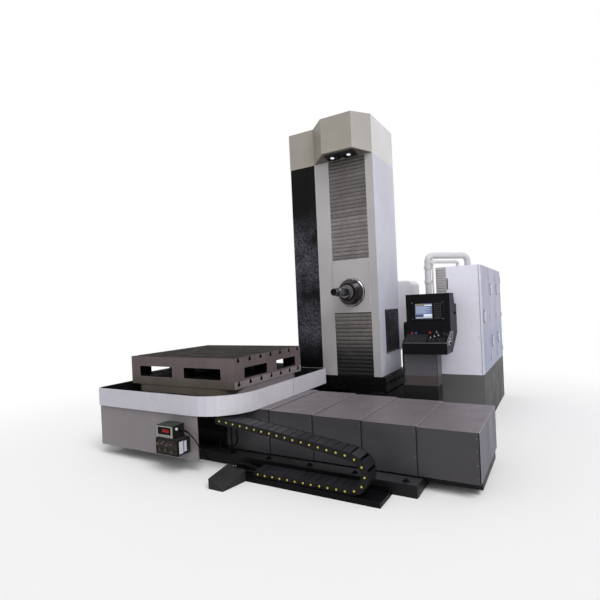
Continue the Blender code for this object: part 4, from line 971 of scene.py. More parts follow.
def slat_curtain(name, low, high, stands_for, fixed_end, moving_end):
    count = round((high - low) / SLAT_PITCH)
    pitch = (high - low) / count
    front, back = CURTAIN_FRONT, CURTAIN_FRONT + SLAT_DEPTH
    upper_front = front + SLAT_LEAN
    bm = bmesh.new()
    for i in range(count):
        bottom = low + i * pitch
        top = bottom + pitch - SLAT_GAP
        side = [(back, bottom), (front + SLAT_ROLL / 2, bottom), (front, bottom + SLAT_ROLL),
                (upper_front, top - SLAT_ROLL), (upper_front + SLAT_ROLL / 2, top), (back, top)]
        prism(bm, side, "x", *CURTAIN_X)
    slats = len(bm.faces)
    slab(bm, (CURTAIN_X[0], back + BACKING_GAP, low), (CURTAIN_X[1], CURTAIN_BACK, high))
    bm.faces.ensure_lookup_table()
    for face in bm.faces[slats:]:
        face.material_index = 1
    piece = settle(name, bm, "slat_steel", None)
    piece.data.materials.append(FINISHES["rubber"])
    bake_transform(piece)
    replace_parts(piece, stands_for)
    print(name, "slats:", count, "pitch:", round(pitch, 4))
    return piece


UPPER = [corner.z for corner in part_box("upper_apron")]
LOWER = [corner.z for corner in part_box("lower_apron")]
slat_curtain("upper_slats", *UPPER, "upper_apron", fixed_end=UPPER[1], moving_end=UPPER[0])
slat_curtain("lower_slats", *LOWER, "lower_apron", fixed_end=LOWER[0], moving_end=LOWER[1])

# %% [markdown]
# ## The spindle nose
# The flange, its rings, the milling spindle and the boring bar are turned parts, so each is one
# profile of (place along the axis, radius) spun about the spindle's axis.  Polished rings stand
# on the nose's cone, and a dark core fills the grooves between them.  The bar is slimmer at its
# end, where the mouth that takes the tool is a dark disc, painted shade for the depth of the bore.
# The flange's screws, the face screws and the two drive keys are what make the nose read as a
# machine spindle, and they also show when it turns.

# %% Flange and rings
SPINDLE = (-0.100, 1.810)
NOSE_STEPS = 72
RING_BORE = 0.095
FLANGE_SCREWS = 12
FLANGE_SCREW_CIRCLE = 0.1665
FLANGE_SCREW_BASE = 1.0452
FLANGE_PROFILE = [(1.0600, RING_BORE), (1.0600, 0.174), (1.0560, 0.178), (1.0480, 0.178), (1.0447, 0.175),
                  (1.0447, 0.160), (1.0400, 0.157), (1.0400, RING_BORE)]
NOSE_RINGS = [(1.0230, 1.0360, 0.157), (1.0000, 1.0130, 0.150), (0.9760, 0.9890, 0.142), (0.9540, 0.9650, 0.131)]
BRIGHT_RING = [(1.0877, 0.100), (1.0877, 0.182), (1.0857, 0.185), (1.0757, 0.185), (1.0747, 0.181),
               (1.0717, 0.181), (1.0707, 0.185), (1.0647, 0.185), (1.0617, 0.181), (1.0617, 0.100)]
NOSE_CORE = [(1.0420, 0.094), (1.0420, 0.152), (1.0200, 0.148), (0.9900, 0.139), (0.9640, 0.128),
             (0.9470, 0.118), (0.9470, 0.094)]


def around(centre, radius, count):
    """Evenly spaced places on a circle, the first of them half a step on."""
    turns = [math.tau * (i + 0.5) / count for i in range(count)]
    return [(centre[0] + radius * math.cos(t), centre[1] + radius * math.sin(t)) for t in turns]


def turned(name, profile, finish, body, steps=NOSE_STEPS, hollow=True, slot="bright_steel"):
    """One piece whose profile is spun about the spindle's axis."""
    bm = bmesh.new()
    lathe(bm, "y", SPINDLE, profile, steps, hollow)
    return settle(name, bm, finish, body, slot)


def spindle_flange():
    bm = bmesh.new()
    lathe(bm, "y", SPINDLE, FLANGE_PROFILE, NOSE_STEPS, hollow=True)
    for place in around(SPINDLE, FLANGE_SCREW_CIRCLE, FLANGE_SCREWS):
        bolt(bm, "y", place, FLANGE_SCREW_BASE, 0.004, 0.0075, out=-1)
    for front, back, edge in NOSE_RINGS:
        lathe(bm, "y", SPINDLE, [(back, RING_BORE), (back, edge), (back - 0.002, edge + 0.003),
                                 (front + 0.003, edge + 0.001), (front, edge - 0.003), (front, RING_BORE)],
              NOSE_STEPS, hollow=True)
    piece = settle("nose_flange", bm, "dark_chrome", "headstock", "bright_steel")
    turned("nose_ring", BRIGHT_RING, "bright_steel", "headstock")
    turned("nose_core", NOSE_CORE, "dark_groove", "headstock")
    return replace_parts(piece, "spindle_flange")


print("flange:", spindle_flange().name, "rings:", len(NOSE_RINGS))

# %% [markdown]
# ## The turning parts of the nose
# The milling spindle drives the tool through two keys on its face, and the boring bar slides out
# through it.  They could be one turned mesh, but each belongs to another body of the machine, so
# each is a profile and a piece of its own, and the keys and the face screws show it turning.

# %% Milling spindle and boring bar
MILLING_PROFILE = [(1.040, 0.0), (1.040, 0.092), (0.9290, 0.092), (0.9260, 0.084), (0.9160, 0.083),
                   (0.9130, 0.087), (0.9030, 0.087), (0.8997, 0.080), (0.8797, 0.078), (0.8697, 0.071),
                   (0.8697, 0.0575), (0.900, 0.0570), (0.900, 0.0)]
DRIVE_KEY = ((0.0580, 0.8640, -0.0125), (0.0710, 0.8900, 0.0125))
FACE_SCREWS = 4
FACE_SCREW_CIRCLE = 0.0645
FACE_SCREW_BASE = 0.8700
BAR_PROFILE = [(1.680, 0.0), (1.680, 0.054), (0.6500, 0.055), (0.6440, 0.050), (0.6140, 0.048),
               (0.5957, 0.0455), (0.5497, 0.0450), (0.5447, 0.0420), (0.5447, 0.0)]
MOUTH_PROFILE = [(0.5449, 0.0), (0.5449, 0.0415), (0.5417, 0.0405), (0.5407, 0.0390), (0.5407, 0.0345),
                 (0.5437, 0.0325), (0.5444, 0.0315), (0.5444, 0.0)]
BAR_STEPS = 48


def milling_nose():
    bm = bmesh.new()
    lathe(bm, "y", SPINDLE, MILLING_PROFILE, 56)
    for turn in (0.0, math.pi):
        first = len(bm.verts)
        slab(bm, *DRIVE_KEY)
        turn_all(bm, first, Matrix.Translation((SPINDLE[0], 0, SPINDLE[1])) @ Matrix.Rotation(turn, 4, "Y"))
    for place in around(SPINDLE, FACE_SCREW_CIRCLE, FACE_SCREWS):
        bolt(bm, "y", place, FACE_SCREW_BASE, 0.004, 0.0055, out=-1)
    piece = settle("milling_nose", bm, "nose_steel", "spindle_sleeve", "bright_steel")
    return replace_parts(piece, "milling_spindle")


def boring_bar():
    piece = turned("boring_bar", BAR_PROFILE, "nose_steel", "spindle_bar", BAR_STEPS, hollow=False)
    # a dark disc in the bar's mouth: painted shade for the depth of the taper bore
    turned("taper_mouth_painted_shade", MOUTH_PROFILE, "rubber", "spindle_bar", BAR_STEPS, hollow=False, slot=None)
    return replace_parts(piece, "boring_spindle")


print("spindle:", milling_nose().name, boring_bar().name)

# %% [markdown]
# ## The energy chain
# The chain carries cables and hoses to the moving table: links with side plates, a lid across the
# top, and a coloured pin in each joint.  The route is the same as the solid's: a slightly bowed
# upper run, a bend, and a lower run in the floor channel.  A link is built flat once, and is then
# turned to follow each stretch of the route.

# %% Route of the chain
CHAIN_Y = (-0.950, -0.760)
CHAIN_START = Vector((-0.750, 0.545))
CHAIN_BEND = Vector((0.690, 0.225))
CHAIN_BEND_RADIUS = 0.150
CHAIN_END_X = -0.300
CHAIN_PITCH = 0.085
CHAIN_SLOPE = 0.10
CHAIN_BOW = 0.012


def chain_route():
    """Joint centres (x, z) of the chain, from the table end to the fixed end."""
    lift = Vector((math.sin(CHAIN_SLOPE), math.cos(CHAIN_SLOPE)))
    top = CHAIN_BEND + CHAIN_BEND_RADIUS * lift
    count = round((top - CHAIN_START).length / CHAIN_PITCH)
    joints = []
    for i in range(count):
        bow = Vector((0, CHAIN_BOW * math.sin(math.pi * i / count)))
        joints.append(CHAIN_START.lerp(top, i / count) + bow)
    sweep = math.pi - CHAIN_SLOPE
    count = round(CHAIN_BEND_RADIUS * sweep / CHAIN_PITCH)
    for i in range(count):
        turn = CHAIN_SLOPE + sweep * i / count
        joints.append(CHAIN_BEND + CHAIN_BEND_RADIUS * Vector((math.sin(turn), math.cos(turn))))
    bottom = CHAIN_BEND - Vector((0, CHAIN_BEND_RADIUS))
    end = Vector((CHAIN_END_X, bottom.y))
    count = round((bottom - end).length / CHAIN_PITCH)
    return joints + [bottom.lerp(end, i / count) for i in range(count + 1)]


JOINTS = chain_route()
print("joints of the chain:", len(JOINTS))

# %% [markdown]
# ## Links of the chain
# A real link is two side plates and two cross pieces, held by pins at the joints.  Each one is
# built flat about the origin, and one matrix carries it to its stretch of the route, which is
# simpler than bending a finished chain.  Every second link is set in by half a plate, because
# neighbours lap over each other.

# %% Links, lids and pins
LINK_HALF = 0.034
LINK_SHARE = 0.86
LINK_END_STEPS = 8
PLATE_SKIN = 0.006
LID_SHARE = 0.54
LID_HALF = 0.003
LID_INSET = 0.010


def link_outline(length, half):
    """Side plate: a strip with rounded ends."""
    points = []
    for side in (1, -1):
        for i in range(LINK_END_STEPS + 1):
            turn = -side * math.pi / 2 + math.pi * i / LINK_END_STEPS
            points.append((side * length / 2 + half * 0.55 * math.cos(turn), half * math.sin(turn)))
    return points


def energy_chain_links():
    near, far = CHAIN_Y
    links, lids, pins = bmesh.new(), bmesh.new(), bmesh.new()
    for index, (start, end) in enumerate(zip(JOINTS, JOINTS[1:])):
        along = end - start
        middle = (start + end) / 2
        tilt = Matrix.Rotation(-math.atan2(along.y, along.x), 4, "Y")
        matrix = Matrix.Translation((middle.x, 0, middle.y)) @ tilt
        inset = PLATE_SKIN * 0.5 * (index % 2)
        first = len(links.verts)
        length = along.length * LINK_SHARE
        for low in (near + inset, far - PLATE_SKIN - inset):
            prism(links, link_outline(length, LINK_HALF), "y", low, low + PLATE_SKIN)
        turn_all(links, first, matrix)
        first = len(lids.verts)
        for side in (-1, 1):
            height = side * LINK_HALF * LINK_SHARE
            slab(lids, (-length * LID_SHARE, near + LID_INSET, height - LID_HALF),
                 (length * LID_SHARE, far - LID_INSET, height + LID_HALF))
        turn_all(lids, first, matrix)
        first = len(pins.verts)
        knob(pins, "y", (0.0, 0.0), near + inset + 0.001, 0.0098, 0.0035, out=-1, steps=14)
        turn_all(pins, first, matrix)
    chain = settle("energy_chain_links", links, "chain_plastic", "bed", "chain_plastic", bevel=0.0012, segments=1)
    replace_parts(chain, "energy_chain")
    settle("chain_lids", lids, "chain_lid", "bed", bevel=0.0015, segments=1)
    settle("chain_pins", pins, "pin_yellow", "bed")


energy_chain_links()
print("chain links:", len(JOINTS) - 1)

# %% [markdown]
# ## Trims of the way covers
# Each sheet of a nested way cover wipes the next one with its outer end.  That end carries a
# bright wiper edge across the top, a dark rubber strip down both sides and a row of low screws,
# and these are what let the eye count the sheets.  Every trim rides with its own sheet, so the
# joints open and close as the table travels.

# %% Wiper edges, side strips and screws
SHEETS_A_SIDE = 5
WIPER_WIDTH = 0.0045
STRIP_WIDTH = 0.0075
TRIM_PROUD = 0.0003
SHEET_SCREW = (0.0055, 0.0018)
SHEET_SCREW_INSET = 0.022


def sheet_body(side, number):
    if number == 1:
        return "bed"
    return "table_saddle" if number == SHEETS_A_SIDE else f"{side}_section_{number}"


def cover_trim(side, number):
    low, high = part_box(f"{side}_cover_{number}")
    out = 1 if side == "right" else -1
    end = high.x if out > 0 else low.x
    body = sheet_body(side, number)
    proud = out * (0.0 if number == 1 else TRIM_PROUD)
    near, far = sorted((end - out * WIPER_WIDTH, end + proud))
    edge = ((near, low.y + 0.0005, high.z - 0.0006), (far, high.y - 0.0005, high.z + 0.0006))
    plates(f"{side}_wiper_{number}", "edge_steel", body, [edge], slot="bright_steel")
    near, far = sorted((end - out * STRIP_WIDTH, end + proud))
    strips = []
    for y, way in ((low.y, -1), (high.y, 1)):
        inner, outer = sorted((y - way * 0.001, y + way * 0.0008))
        strips.append(((near, inner, low.z + 0.002), (far, outer, high.z - 0.002)))
    plates(f"{side}_side_strip_{number}", "rubber", body, strips)
    row = end - out * SHEET_SCREW_INSET
    places = [(row, y) for y in spaced(low.y + 0.06, high.y - 0.06, 7)]
    screws(f"{side}_cover_screws_{number}", body, "z", high.z, places, *SHEET_SCREW, finish="edge_steel")
    places = [(row, z) for z in spaced(low.z + 0.05, high.z - 0.05, 4)]
    for y, way, end_name in ((low.y, -1, "front"), (high.y, 1, "back")):
        screws(f"{side}_side_screws_{number}_{end_name}", body, "y", y, places, *SHEET_SCREW, way, "cover_grey")


SHEETS = [(side, number) for side in ("right", "left") for number in range(1, SHEETS_A_SIDE + 1)]
for sheet in SHEETS:
    cover_trim(*sheet)
END_LOW, END_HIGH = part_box("right_cover_1")
corner_places = [(y, z) for y in (END_LOW.y + 0.03, 0.0, END_HIGH.y - 0.03)
                 for z in (END_LOW.z + 0.03, END_HIGH.z - 0.03)]
screws("cover_end_screws", "bed", "x", END_HIGH.x - 0.0018, corner_places, 0.0075, 0.0018, finish="edge_steel")
print("cover ends trimmed:", len(SHEETS))

# %% [markdown]
# ## Under the hood
# The hood at the top of the column holds two work lamps that light the spindle.  A dark soffit
# sheet closes its underside and is painted shade, and each lamp is a frame round a dark reflector
# bowl with a glowing lens.
# The hood's underside slopes a little, so the round parts are turned level first and then tipped
# to the slope with one matrix.

# %% Soffit, lamp frames and lenses
HOOD_LOW = 3.602
HOOD_SLOPE = 0.150
COLUMN_FACE = 1.100
SOFFIT_OUTLINE = [(-0.332, 0.872), (0.082, 0.872), (0.250, 1.096), (-0.562, 1.096)]
SOFFIT_DROPS = (0.0016, 0.0002)
LAMP_SPOTS = [(-0.242, 0.980), (-0.008, 0.980)]
LAMP_DEPTH = 0.0252
LAMP_STEPS = 32
LAMP_BARS = [((-0.082, -0.064), (0.082, -0.056)), ((-0.082, 0.056), (0.082, 0.064)),
             ((-0.082, -0.056), (-0.062, 0.056)), ((0.062, -0.056), (0.082, 0.056))]
BOWL_PROFILE = [(0.0, 0.024), (-0.003, 0.052), (-0.0055, 0.052), (-0.0055, 0.048), (-0.0015, 0.026)]
LENS_PROFILE = [(0.0, 0.0), (0.0, 0.026), (-0.0025, 0.025), (-0.0050, 0.018), (-0.0060, 0.0)]


def underside(y):
    return HOOD_LOW + HOOD_SLOPE * (COLUMN_FACE - y)


def hood_soffit():
    bm = bmesh.new()
    bridge(bm, [[Vector((x, y, underside(y) - drop)) for x, y in SOFFIT_OUTLINE] for drop in SOFFIT_DROPS])
    return settle("hood_soffit", bm, "soffit", "column")


def tipped(x, y, drop):
    lean = Matrix.Rotation(-math.atan(HOOD_SLOPE), 4, "X")
    return Matrix.Translation((x, y, underside(y) - drop)) @ lean


def work_lamps():
    frames, bowls, lenses = bmesh.new(), bmesh.new(), bmesh.new()
    for x, y in LAMP_SPOTS:
        firsts = [len(bm.verts) for bm in (frames, bowls, lenses)]
        for a, b in LAMP_BARS:
            slab(frames, (*a, -0.0075), (*b, 0.0))
        lathe(bowls, "z", (0.0, 0.0), BOWL_PROFILE, LAMP_STEPS, hollow=True)
        lathe(lenses, "z", (0.0, 0.0), LENS_PROFILE, LAMP_STEPS)
        for bm, first in zip((frames, bowls, lenses), firsts):
            turn_all(bm, first, tipped(x, y, LAMP_DEPTH))
    settle("lamp_frames", frames, "lamp_housing", "column", bevel=0.001)
    settle("lamp_bowls", bowls, "lamp_housing", "column")
    return settle("lamp_lenses", lenses, "lamp_lens", "column")


print("hood:", hood_soffit().name, work_lamps().name)

# %% [markdown]
# ## Column and headstock fittings
# The column is a dark casting with light sheet panels.  Panels are held by rows of small screws,
# the vent on the right side has tilted fins that keep chips out, and the column slide stands on
# the bed with a row of large socket screws.  Repeated things are placed by evenly spaced numbers
# and not by hand, because even spacing is what a drilled row looks like.

# %% Vent
FIN_COUNT = 13
FIN_HEIGHT = 0.028
RIM = 0.020
RIM_PROUD = 0.003


def vent():
    low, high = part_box("vent_panel")
    bm = bmesh.new()
    face = high.x
    for z in spaced(low.z + 0.035, high.z - 0.065, FIN_COUNT):
        prism(bm, [(face, z), (face, z + FIN_HEIGHT), (face + 0.002, z + FIN_HEIGHT), (face + 0.009, z + 0.004),
                   (face + 0.009, z)], "y", low.y + 0.03, high.y - 0.03)
    settle("vent_fins", bm, "black_casting", "column", "black_casting")
    rim = [((face, low.y, low.z), (face + RIM_PROUD, low.y + RIM, high.z)),
           ((face, high.y - RIM, low.z), (face + RIM_PROUD, high.y, high.z)),
           ((face, low.y + RIM, low.z), (face + RIM_PROUD, high.y - RIM, low.z + RIM)),
           ((face, low.y + RIM, high.z - RIM), (face + RIM_PROUD, high.y - RIM, high.z))]
    plates("vent_rim", "lamp_housing", "column", rim, bevel=0.001)
    places = grid((low.y + 0.010, high.y - 0.010), spaced(low.z + 0.012, high.z - 0.012, 4))
    screws("vent_screws", "column", "x", face + RIM_PROUD, places, 0.0055, 0.002, finish="edge_steel")


vent()
print("vent fins:", FIN_COUNT)

# %% [markdown]
# ## Rows of screws on the column
# Small screws hold the side, back and cap panels, and large ones hold the slide and the casting.
# Each row is one line of a table: the axis it points along, where its face lies, the places, the
# size, the side it looks to and the finish.  A table makes the rows easy to compare, and one
# mesh for each row keeps the scene light.

# %% Rows of screws
PANEL_SCREW = (0.0065, 0.0022)
SLIDE_BOLT = (0.016, 0.012)
FOOT_BOLT = (0.018, 0.014)
SLIDE_ROW_Z, FOOT_ROW_Z = 0.598, 0.745
COLUMN_RIGHT, COLUMN_BACK = 0.268, 1.930
PANEL_HEIGHTS = spaced(0.80, 3.50, 8)
SLIDE_PLACES = grid(spaced(1.16, 1.97, 6), (SLIDE_ROW_Z,))
COLUMN_ROWS = {
    "side_panel_screws": ("x", COLUMN_RIGHT, grid((1.135, 1.895), PANEL_HEIGHTS), *PANEL_SCREW, 1, "side_panel"),
    "back_panel_screws": ("y", COLUMN_BACK, grid((-0.545, 0.235), PANEL_HEIGHTS), *PANEL_SCREW, 1, "side_panel"),
    "cap_screws": ("x", COLUMN_RIGHT, grid(spaced(1.16, 1.87, 4), (3.625, 4.065)), *PANEL_SCREW, 1, "cap_paint"),
    "slide_front_bolts": ("y", COLUMN_FACE, grid(spaced(-0.95, 0.27, 9), (SLIDE_ROW_Z,)), *SLIDE_BOLT, -1,
                          "black_casting"),
    "slide_right_bolts": ("x", 0.318, SLIDE_PLACES, *SLIDE_BOLT, 1, "black_casting"),
    "slide_left_bolts": ("x", -0.999, SLIDE_PLACES, *SLIDE_BOLT, -1, "black_casting"),
    "casting_foot_bolts": ("x", -0.969, grid(spaced(1.16, 1.87, 5), (FOOT_ROW_Z,)), *FOOT_BOLT, -1,
                           "black_casting"),
}
for name, row in COLUMN_ROWS.items():
    screws(name, "column", *row)
print("column screws placed:", sum(len(row[2]) for row in COLUMN_ROWS.values()))

# %% [markdown]
# ## Front plate, gasket and drive cover
# The headstock's front plate is held by two rows of screws and has folded edges, and a gasket
# lies under the spindle flange.  These lines are only millimetres wide, but they are what parts
# one sheet from the next by eye, so they are real strips and not painted.  The drive cover is one
# box with a seam across its back.

# %% Headstock face and drive cover
FACE_SCREW_Y = 1.088
FOLD = 0.0045
GASKET_PROFILE = [(1.0880, 0.184), (1.0880, 0.1915), (1.0860, 0.1915), (1.0860, 0.184)]
SEAM_Z = (1.470, 1.474)
PLATE_PLACES = grid((-0.345, 0.141), spaced(1.562, 2.228, 4))
screws("front_plate_screws", "headstock", "y", FACE_SCREW_Y, PLATE_PLACES, 0.0065, 0.0025, -1, "edge_steel")
low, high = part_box("headstock_face")
plates("front_plate_edges", "light_panel", "headstock",
       [((low.x - FOLD, low.y, low.z), (low.x, high.y, high.z)),
        ((high.x, low.y, low.z), (high.x + FOLD, high.y, high.z))])
turned("flange_gasket", GASKET_PROFILE, "rubber", "headstock", 64, slot=None)
low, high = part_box("drive_cover")
DRIVE_PLACES = grid((low.y + 0.03, high.y - 0.05), spaced(1.02, 1.82, 4))
screws("drive_cover_screws", "column", "x", high.x, DRIVE_PLACES, *PANEL_SCREW, finish="side_panel")
seam = ((low.x + 0.02, high.y - 0.0002, SEAM_Z[0]), (high.x - 0.02, high.y + 0.0008, SEAM_Z[1]))
plates("drive_cover_seam", "rubber", "column", [seam])
print("front plate and drive cover screws:", len(PLATE_PLACES) + len(DRIVE_PLACES))

# %% [markdown]
# ## Tray and guard
# The coolant tray is welded from two lengths, which shows as one fine joint on its right wall.
# The guard panel below it hangs from a row of small screws.  A thin slab proud of the wall is the
# simplest joint, and it catches the light as a weld bead does.

# %% Tray joint and guard screws
JOINT_Y = (0.1555, 0.1585)
GUARD_SCREW = (0.006, 0.002)
GUARD_ROW_DROP = 0.022


def tray_details():
    low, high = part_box("drip_tray")
    joint = [((high.x - 0.0005, JOINT_Y[0], low.z + 0.001), (high.x + 0.0006, JOINT_Y[1], high.z - 0.001)),
             ((high.x - 0.021, JOINT_Y[0], high.z - 0.0005), (high.x + 0.0006, JOINT_Y[1], high.z + 0.0006))]
    plates("tray_joint", "lamp_housing", "table_saddle", joint)
    low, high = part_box("tray_apron")
    level = (high.z - GUARD_ROW_DROP,)
    row = grid(spaced(low.x + 0.10, high.x - 0.05, 8), level)
    screws("guard_screws", "table_saddle", "y", low.y, row, *GUARD_SCREW, -1, "apron_grey")
    side = grid(spaced(low.y + 0.08, high.y - 0.05, 3), level)
    screws("guard_side_screws", "table_saddle", "x", low.x, side, *GUARD_SCREW, -1, "apron_grey")
    return len(row) + len(side)


print("guard screws:", tray_details())

# %% [markdown]
# ## The lubrication unit
# A small unit hangs from the guard panel.  Its upper box is a controller with a red number display
# in a bezel and a row of keys, and its lower box carries two rows of fittings.  Each number is
# drawn as a seven-segment digit, the way the real display lights it.

# %% Figures of the display
SEGMENTS = {"top": (0, 1, 1, 1), "middle": (0, 0, 1, 0), "bottom": (0, -1, 1, -1),
            "left_high": (0, 0, 0, 1), "right_high": (1, 0, 1, 1),
            "left_low": (0, -1, 0, 0), "right_low": (1, -1, 1, 0)}
DIGITS = {"2": ("top", "right_high", "middle", "left_low", "bottom"),
          "5": ("top", "left_high", "middle", "right_low", "bottom"),
          "0": ("top", "left_high", "right_high", "left_low", "right_low", "bottom")}
SHOWN_NUMBER = "0250"
LINE_SHARE = 0.16
FIGURE_DEPTH = 0.0006


def digit(bm, figure, x, y, z, width, half):
    """One lit figure in the plane y; x and z are its left edge and middle height."""
    line = width * LINE_SHARE
    for segment in DIGITS[figure]:
        a, b, c, d = SEGMENTS[segment]
        slab(bm, (x + a * width - line / 2, y - FIGURE_DEPTH, z + b * half - line / 2),
             (x + c * width + line / 2, y, z + d * half + line / 2))


print("number on the display:", SHOWN_NUMBER)

# %% [markdown]
# ## Housing of the lubrication unit
# The controller has a bezel round its window, and bronze fittings with dark nuts stand on the box
# below.  They could be modelled thread by thread, but they are a few pixels wide in the picture,
# so stacked knobs give the same look: six sides for a nut and twenty for a round fitting.

# %% Controller, fittings and side
UNIT_FACE = -1.182
BEZEL_PROUD = 0.0025
BEZEL_BARS = [(-1.3475, 0.386, -1.331, 0.500), (-1.146, 0.386, -1.1215, 0.500),
              (-1.331, 0.386, -1.146, 0.412), (-1.331, 0.489, -1.146, 0.500)]
WINDOW_Y = UNIT_FACE - 0.0012
NUT_PLACES = [(-1.312, 0.322), (-1.248, 0.335), (-1.184, 0.318), (-1.120, 0.330)]
STEM_PLACES = [(-1.300, 0.255), (-1.215, 0.262), (-1.130, 0.250)]
GLAND_PLACES = [(-1.095, 0.455), (-1.073, 0.435)]
UNIT_SIDE = -1.119
BAR_WIDTH = 0.008


def controller():
    rim = [((a, UNIT_FACE - BEZEL_PROUD, b), (c, UNIT_FACE, d)) for a, b, c, d in BEZEL_BARS]
    plates("unit_bezel", "unit_bezel", "table_saddle", rim, bevel=0.001)
    window = ((-1.3305, WINDOW_Y, 0.4125), (-1.1465, UNIT_FACE + 0.0005, 0.4885))
    plates("unit_window", "rubber", "table_saddle", [window])
    figures = bmesh.new()
    for place, figure in zip(spaced(-1.258, -1.192, 4), SHOWN_NUMBER):
        digit(figures, figure, place, WINDOW_Y, 0.452, 0.012, 0.012)
    settle("unit_figures", figures, "display_red", "table_saddle")
    low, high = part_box("lubrication_unit")
    lid = [((-1.3505, UNIT_FACE - 0.002, high.z - 0.0005), (-1.1185, high.y - 0.001, high.z + 0.0015))]
    plates("unit_lid", "unit_green", "table_saddle", lid)
    keys = bmesh.new()
    for place in spaced(-1.305, -1.165, 5):
        knob(keys, "y", (place, 0.399), UNIT_FACE - BEZEL_PROUD, 0.0060, 0.003, out=-1, steps=14)
    settle("unit_keys", keys, "key_grey", "table_saddle")
    return low, high


def fittings_and_frame(low, high):
    front = low.y
    fittings, collars = bmesh.new(), bmesh.new()
    for place in NUT_PLACES:
        knob(collars, "y", place, front, 0.021, 0.008, out=-1, steps=6)
        knob(fittings, "y", place, front - 0.008, 0.013, 0.020, out=-1)
    for place in STEM_PLACES:
        knob(fittings, "y", place, front, 0.015, 0.014, out=-1)
        knob(collars, "y", place, front - 0.014, 0.008, 0.010, out=-1, steps=6)
    settle("unit_fittings", fittings, "bronze", "table_saddle")
    settle("unit_collars", collars, "dark_chrome", "table_saddle")
    inner, outer = front + 0.0005, front - 0.006
    bars = [((low.x + 0.001, outer, z), (high.x - 0.001, inner, z + BAR_WIDTH)) for z in (0.216, 0.366)]
    bars += [((x, outer, 0.224), (x + BAR_WIDTH, inner, 0.366)) for x in (low.x + 0.001, high.x - 0.009)]
    plates("unit_frame", "rubber", "table_saddle", bars, bevel=0.001)


def unit_side(low, high):
    side, front = high.x, low.y
    plates("unit_side_plate", "white_tube", "table_saddle",
           [((side - 0.0005, front + 0.018, 0.232), (side + 0.002, front + 0.072, 0.356)),
            ((side - 0.0005, front + 0.084, 0.240), (side + 0.002, front + 0.118, 0.350))],
           bevel=0.001, slot="white_tube")
    line = ((side - 0.0005, front + 0.0735, 0.236), (side + 0.0014, front + 0.0825, 0.352))
    plates("unit_side_line", "signal_blue", "table_saddle", [line])
    screws("unit_side_screws", "table_saddle", "x", side, [(front + 0.140, z) for z in (0.24, 0.35)], 0.005, 0.003)
    white, glands = bmesh.new(), bmesh.new()
    knob(white, "x", (-1.135, 0.470), UNIT_SIDE, 0.014, 0.016)
    settle("unit_side_knob", white, "white_tube", "table_saddle")
    for place in GLAND_PLACES:
        knob(glands, "x", place, UNIT_SIDE, 0.013, 0.012, steps=6)
    settle("unit_glands", glands, "rubber", "table_saddle")


unit_box = controller()
fittings_and_frame(*unit_box)
unit_side(*unit_box)
print("fittings of the unit:", len(NUT_PLACES) + len(STEM_PLACES))

# %% [markdown]
# ## Cables of the lubrication unit
# Two leads leave the controller, bend round the end of the guard panel and pass behind it, where
# they hang in a loop and rise to the tray's underside.  A lead is a fixed length of something
# springy, so its route is one smooth curve through a few chosen points.  Reading the smooth curve
# at even steps gives the points of the real spline.

# %% Leads
TRAY_UNDER = 0.5925
ROUTE_STEPS = 3
ROUND_STEPS = 3


def smooth_route(points):
    """Points read from a Catmull-Rom curve through the given points."""
    points = [Vector(p) for p in points]
    ends = [2 * points[0] - points[1]] + points + [2 * points[-1] - points[-2]]
    route = []
    for a, b, c, d in zip(ends, ends[1:], ends[2:], ends[3:]):
        for i in range(ROUTE_STEPS):
            t = i / ROUTE_STEPS
            route.append(0.5 * (2 * b + (c - a) * t + (2 * a - 5 * b + 4 * c - d) * t * t
                                + (3 * b - a - 3 * c + d) * t * t * t))
    return route + [points[-1]]


def lead(name, points, diameter, body):
    route = smooth_route(points)
    curve = bpy.data.curves.new(name, "CURVE")
    curve.dimensions = "3D"
    curve.bevel_depth = diameter / 2
    curve.bevel_resolution = ROUND_STEPS
    curve.use_fill_caps = True
    spline = curve.splines.new("POLY")
    spline.points.add(len(route) - 1)
    for spot, place in zip(spline.points, route):
        spot.co = (*place, 1.0)
    curve.materials.append(FINISHES["rubber"])
    piece = link(bpy.data.objects.new(name, curve))
    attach(piece, body)
    return piece


lead("unit_lead_1", [(-1.107, -1.095, 0.455), (-1.080, -1.094, 0.457), (-1.025, -1.086, 0.447),
                     (-0.970, -1.070, 0.395), (-0.924, -1.048, 0.325), (-0.902, -1.020, 0.260),
                     (-0.898, -0.996, 0.205), (-0.920, -0.984, 0.158), (-0.968, -0.982, 0.142),
                     (-1.016, -0.983, 0.160), (-1.040, -0.984, 0.210), (-1.044, -0.984, 0.300),
                     (-1.045, -0.984, 0.450), (-1.045, -0.984, TRAY_UNDER)], 0.0125, "table_saddle")
lead("unit_lead_2", [(-1.107, -1.073, 0.435), (-1.080, -1.072, 0.436), (-1.028, -1.066, 0.424),
                     (-0.972, -1.054, 0.375), (-0.930, -1.036, 0.315), (-0.908, -1.010, 0.265),
                     (-0.904, -0.984, 0.225), (-0.922, -0.974, 0.188), (-0.955, -0.972, 0.176),
                     (-0.990, -0.972, 0.190), (-1.006, -0.972, 0.225), (-1.009, -0.972, 0.300),
                     (-1.010, -0.972, 0.450), (-1.010, -0.972, TRAY_UNDER)], 0.0105, "table_saddle")

# %% [markdown]
# ## Hoses under the tray
# Two coolant hoses hang in a loop below the tray, close behind its guard panel.  Both ends go up
# into the tray's underside, so they travel with it, and they hang in the narrow lane between the
# energy chain and the bed.

# %% Hanging hoses
def hanging_loop(left, right, top, bottom, y):
    """Points of a hose that goes straight down, round a wide bend and up again."""
    middle, half = (left + right) / 2, (right - left) / 2
    points = [(left, y, top), (left, y, top - 0.06)]
    points += [(left + 0.004, y, z) for z in spaced(top - 0.14, bottom + half + 0.05, 2)]
    points += [(middle - half * math.cos(t), y, bottom + half - half * math.sin(t)) for t in spaced(0.0, math.pi, 5)]
    points += [(right - 0.004, y, z) for z in spaced(bottom + half + 0.05, top - 0.14, 2)]
    return points + [(right, y, top - 0.06), (right, y, top)]


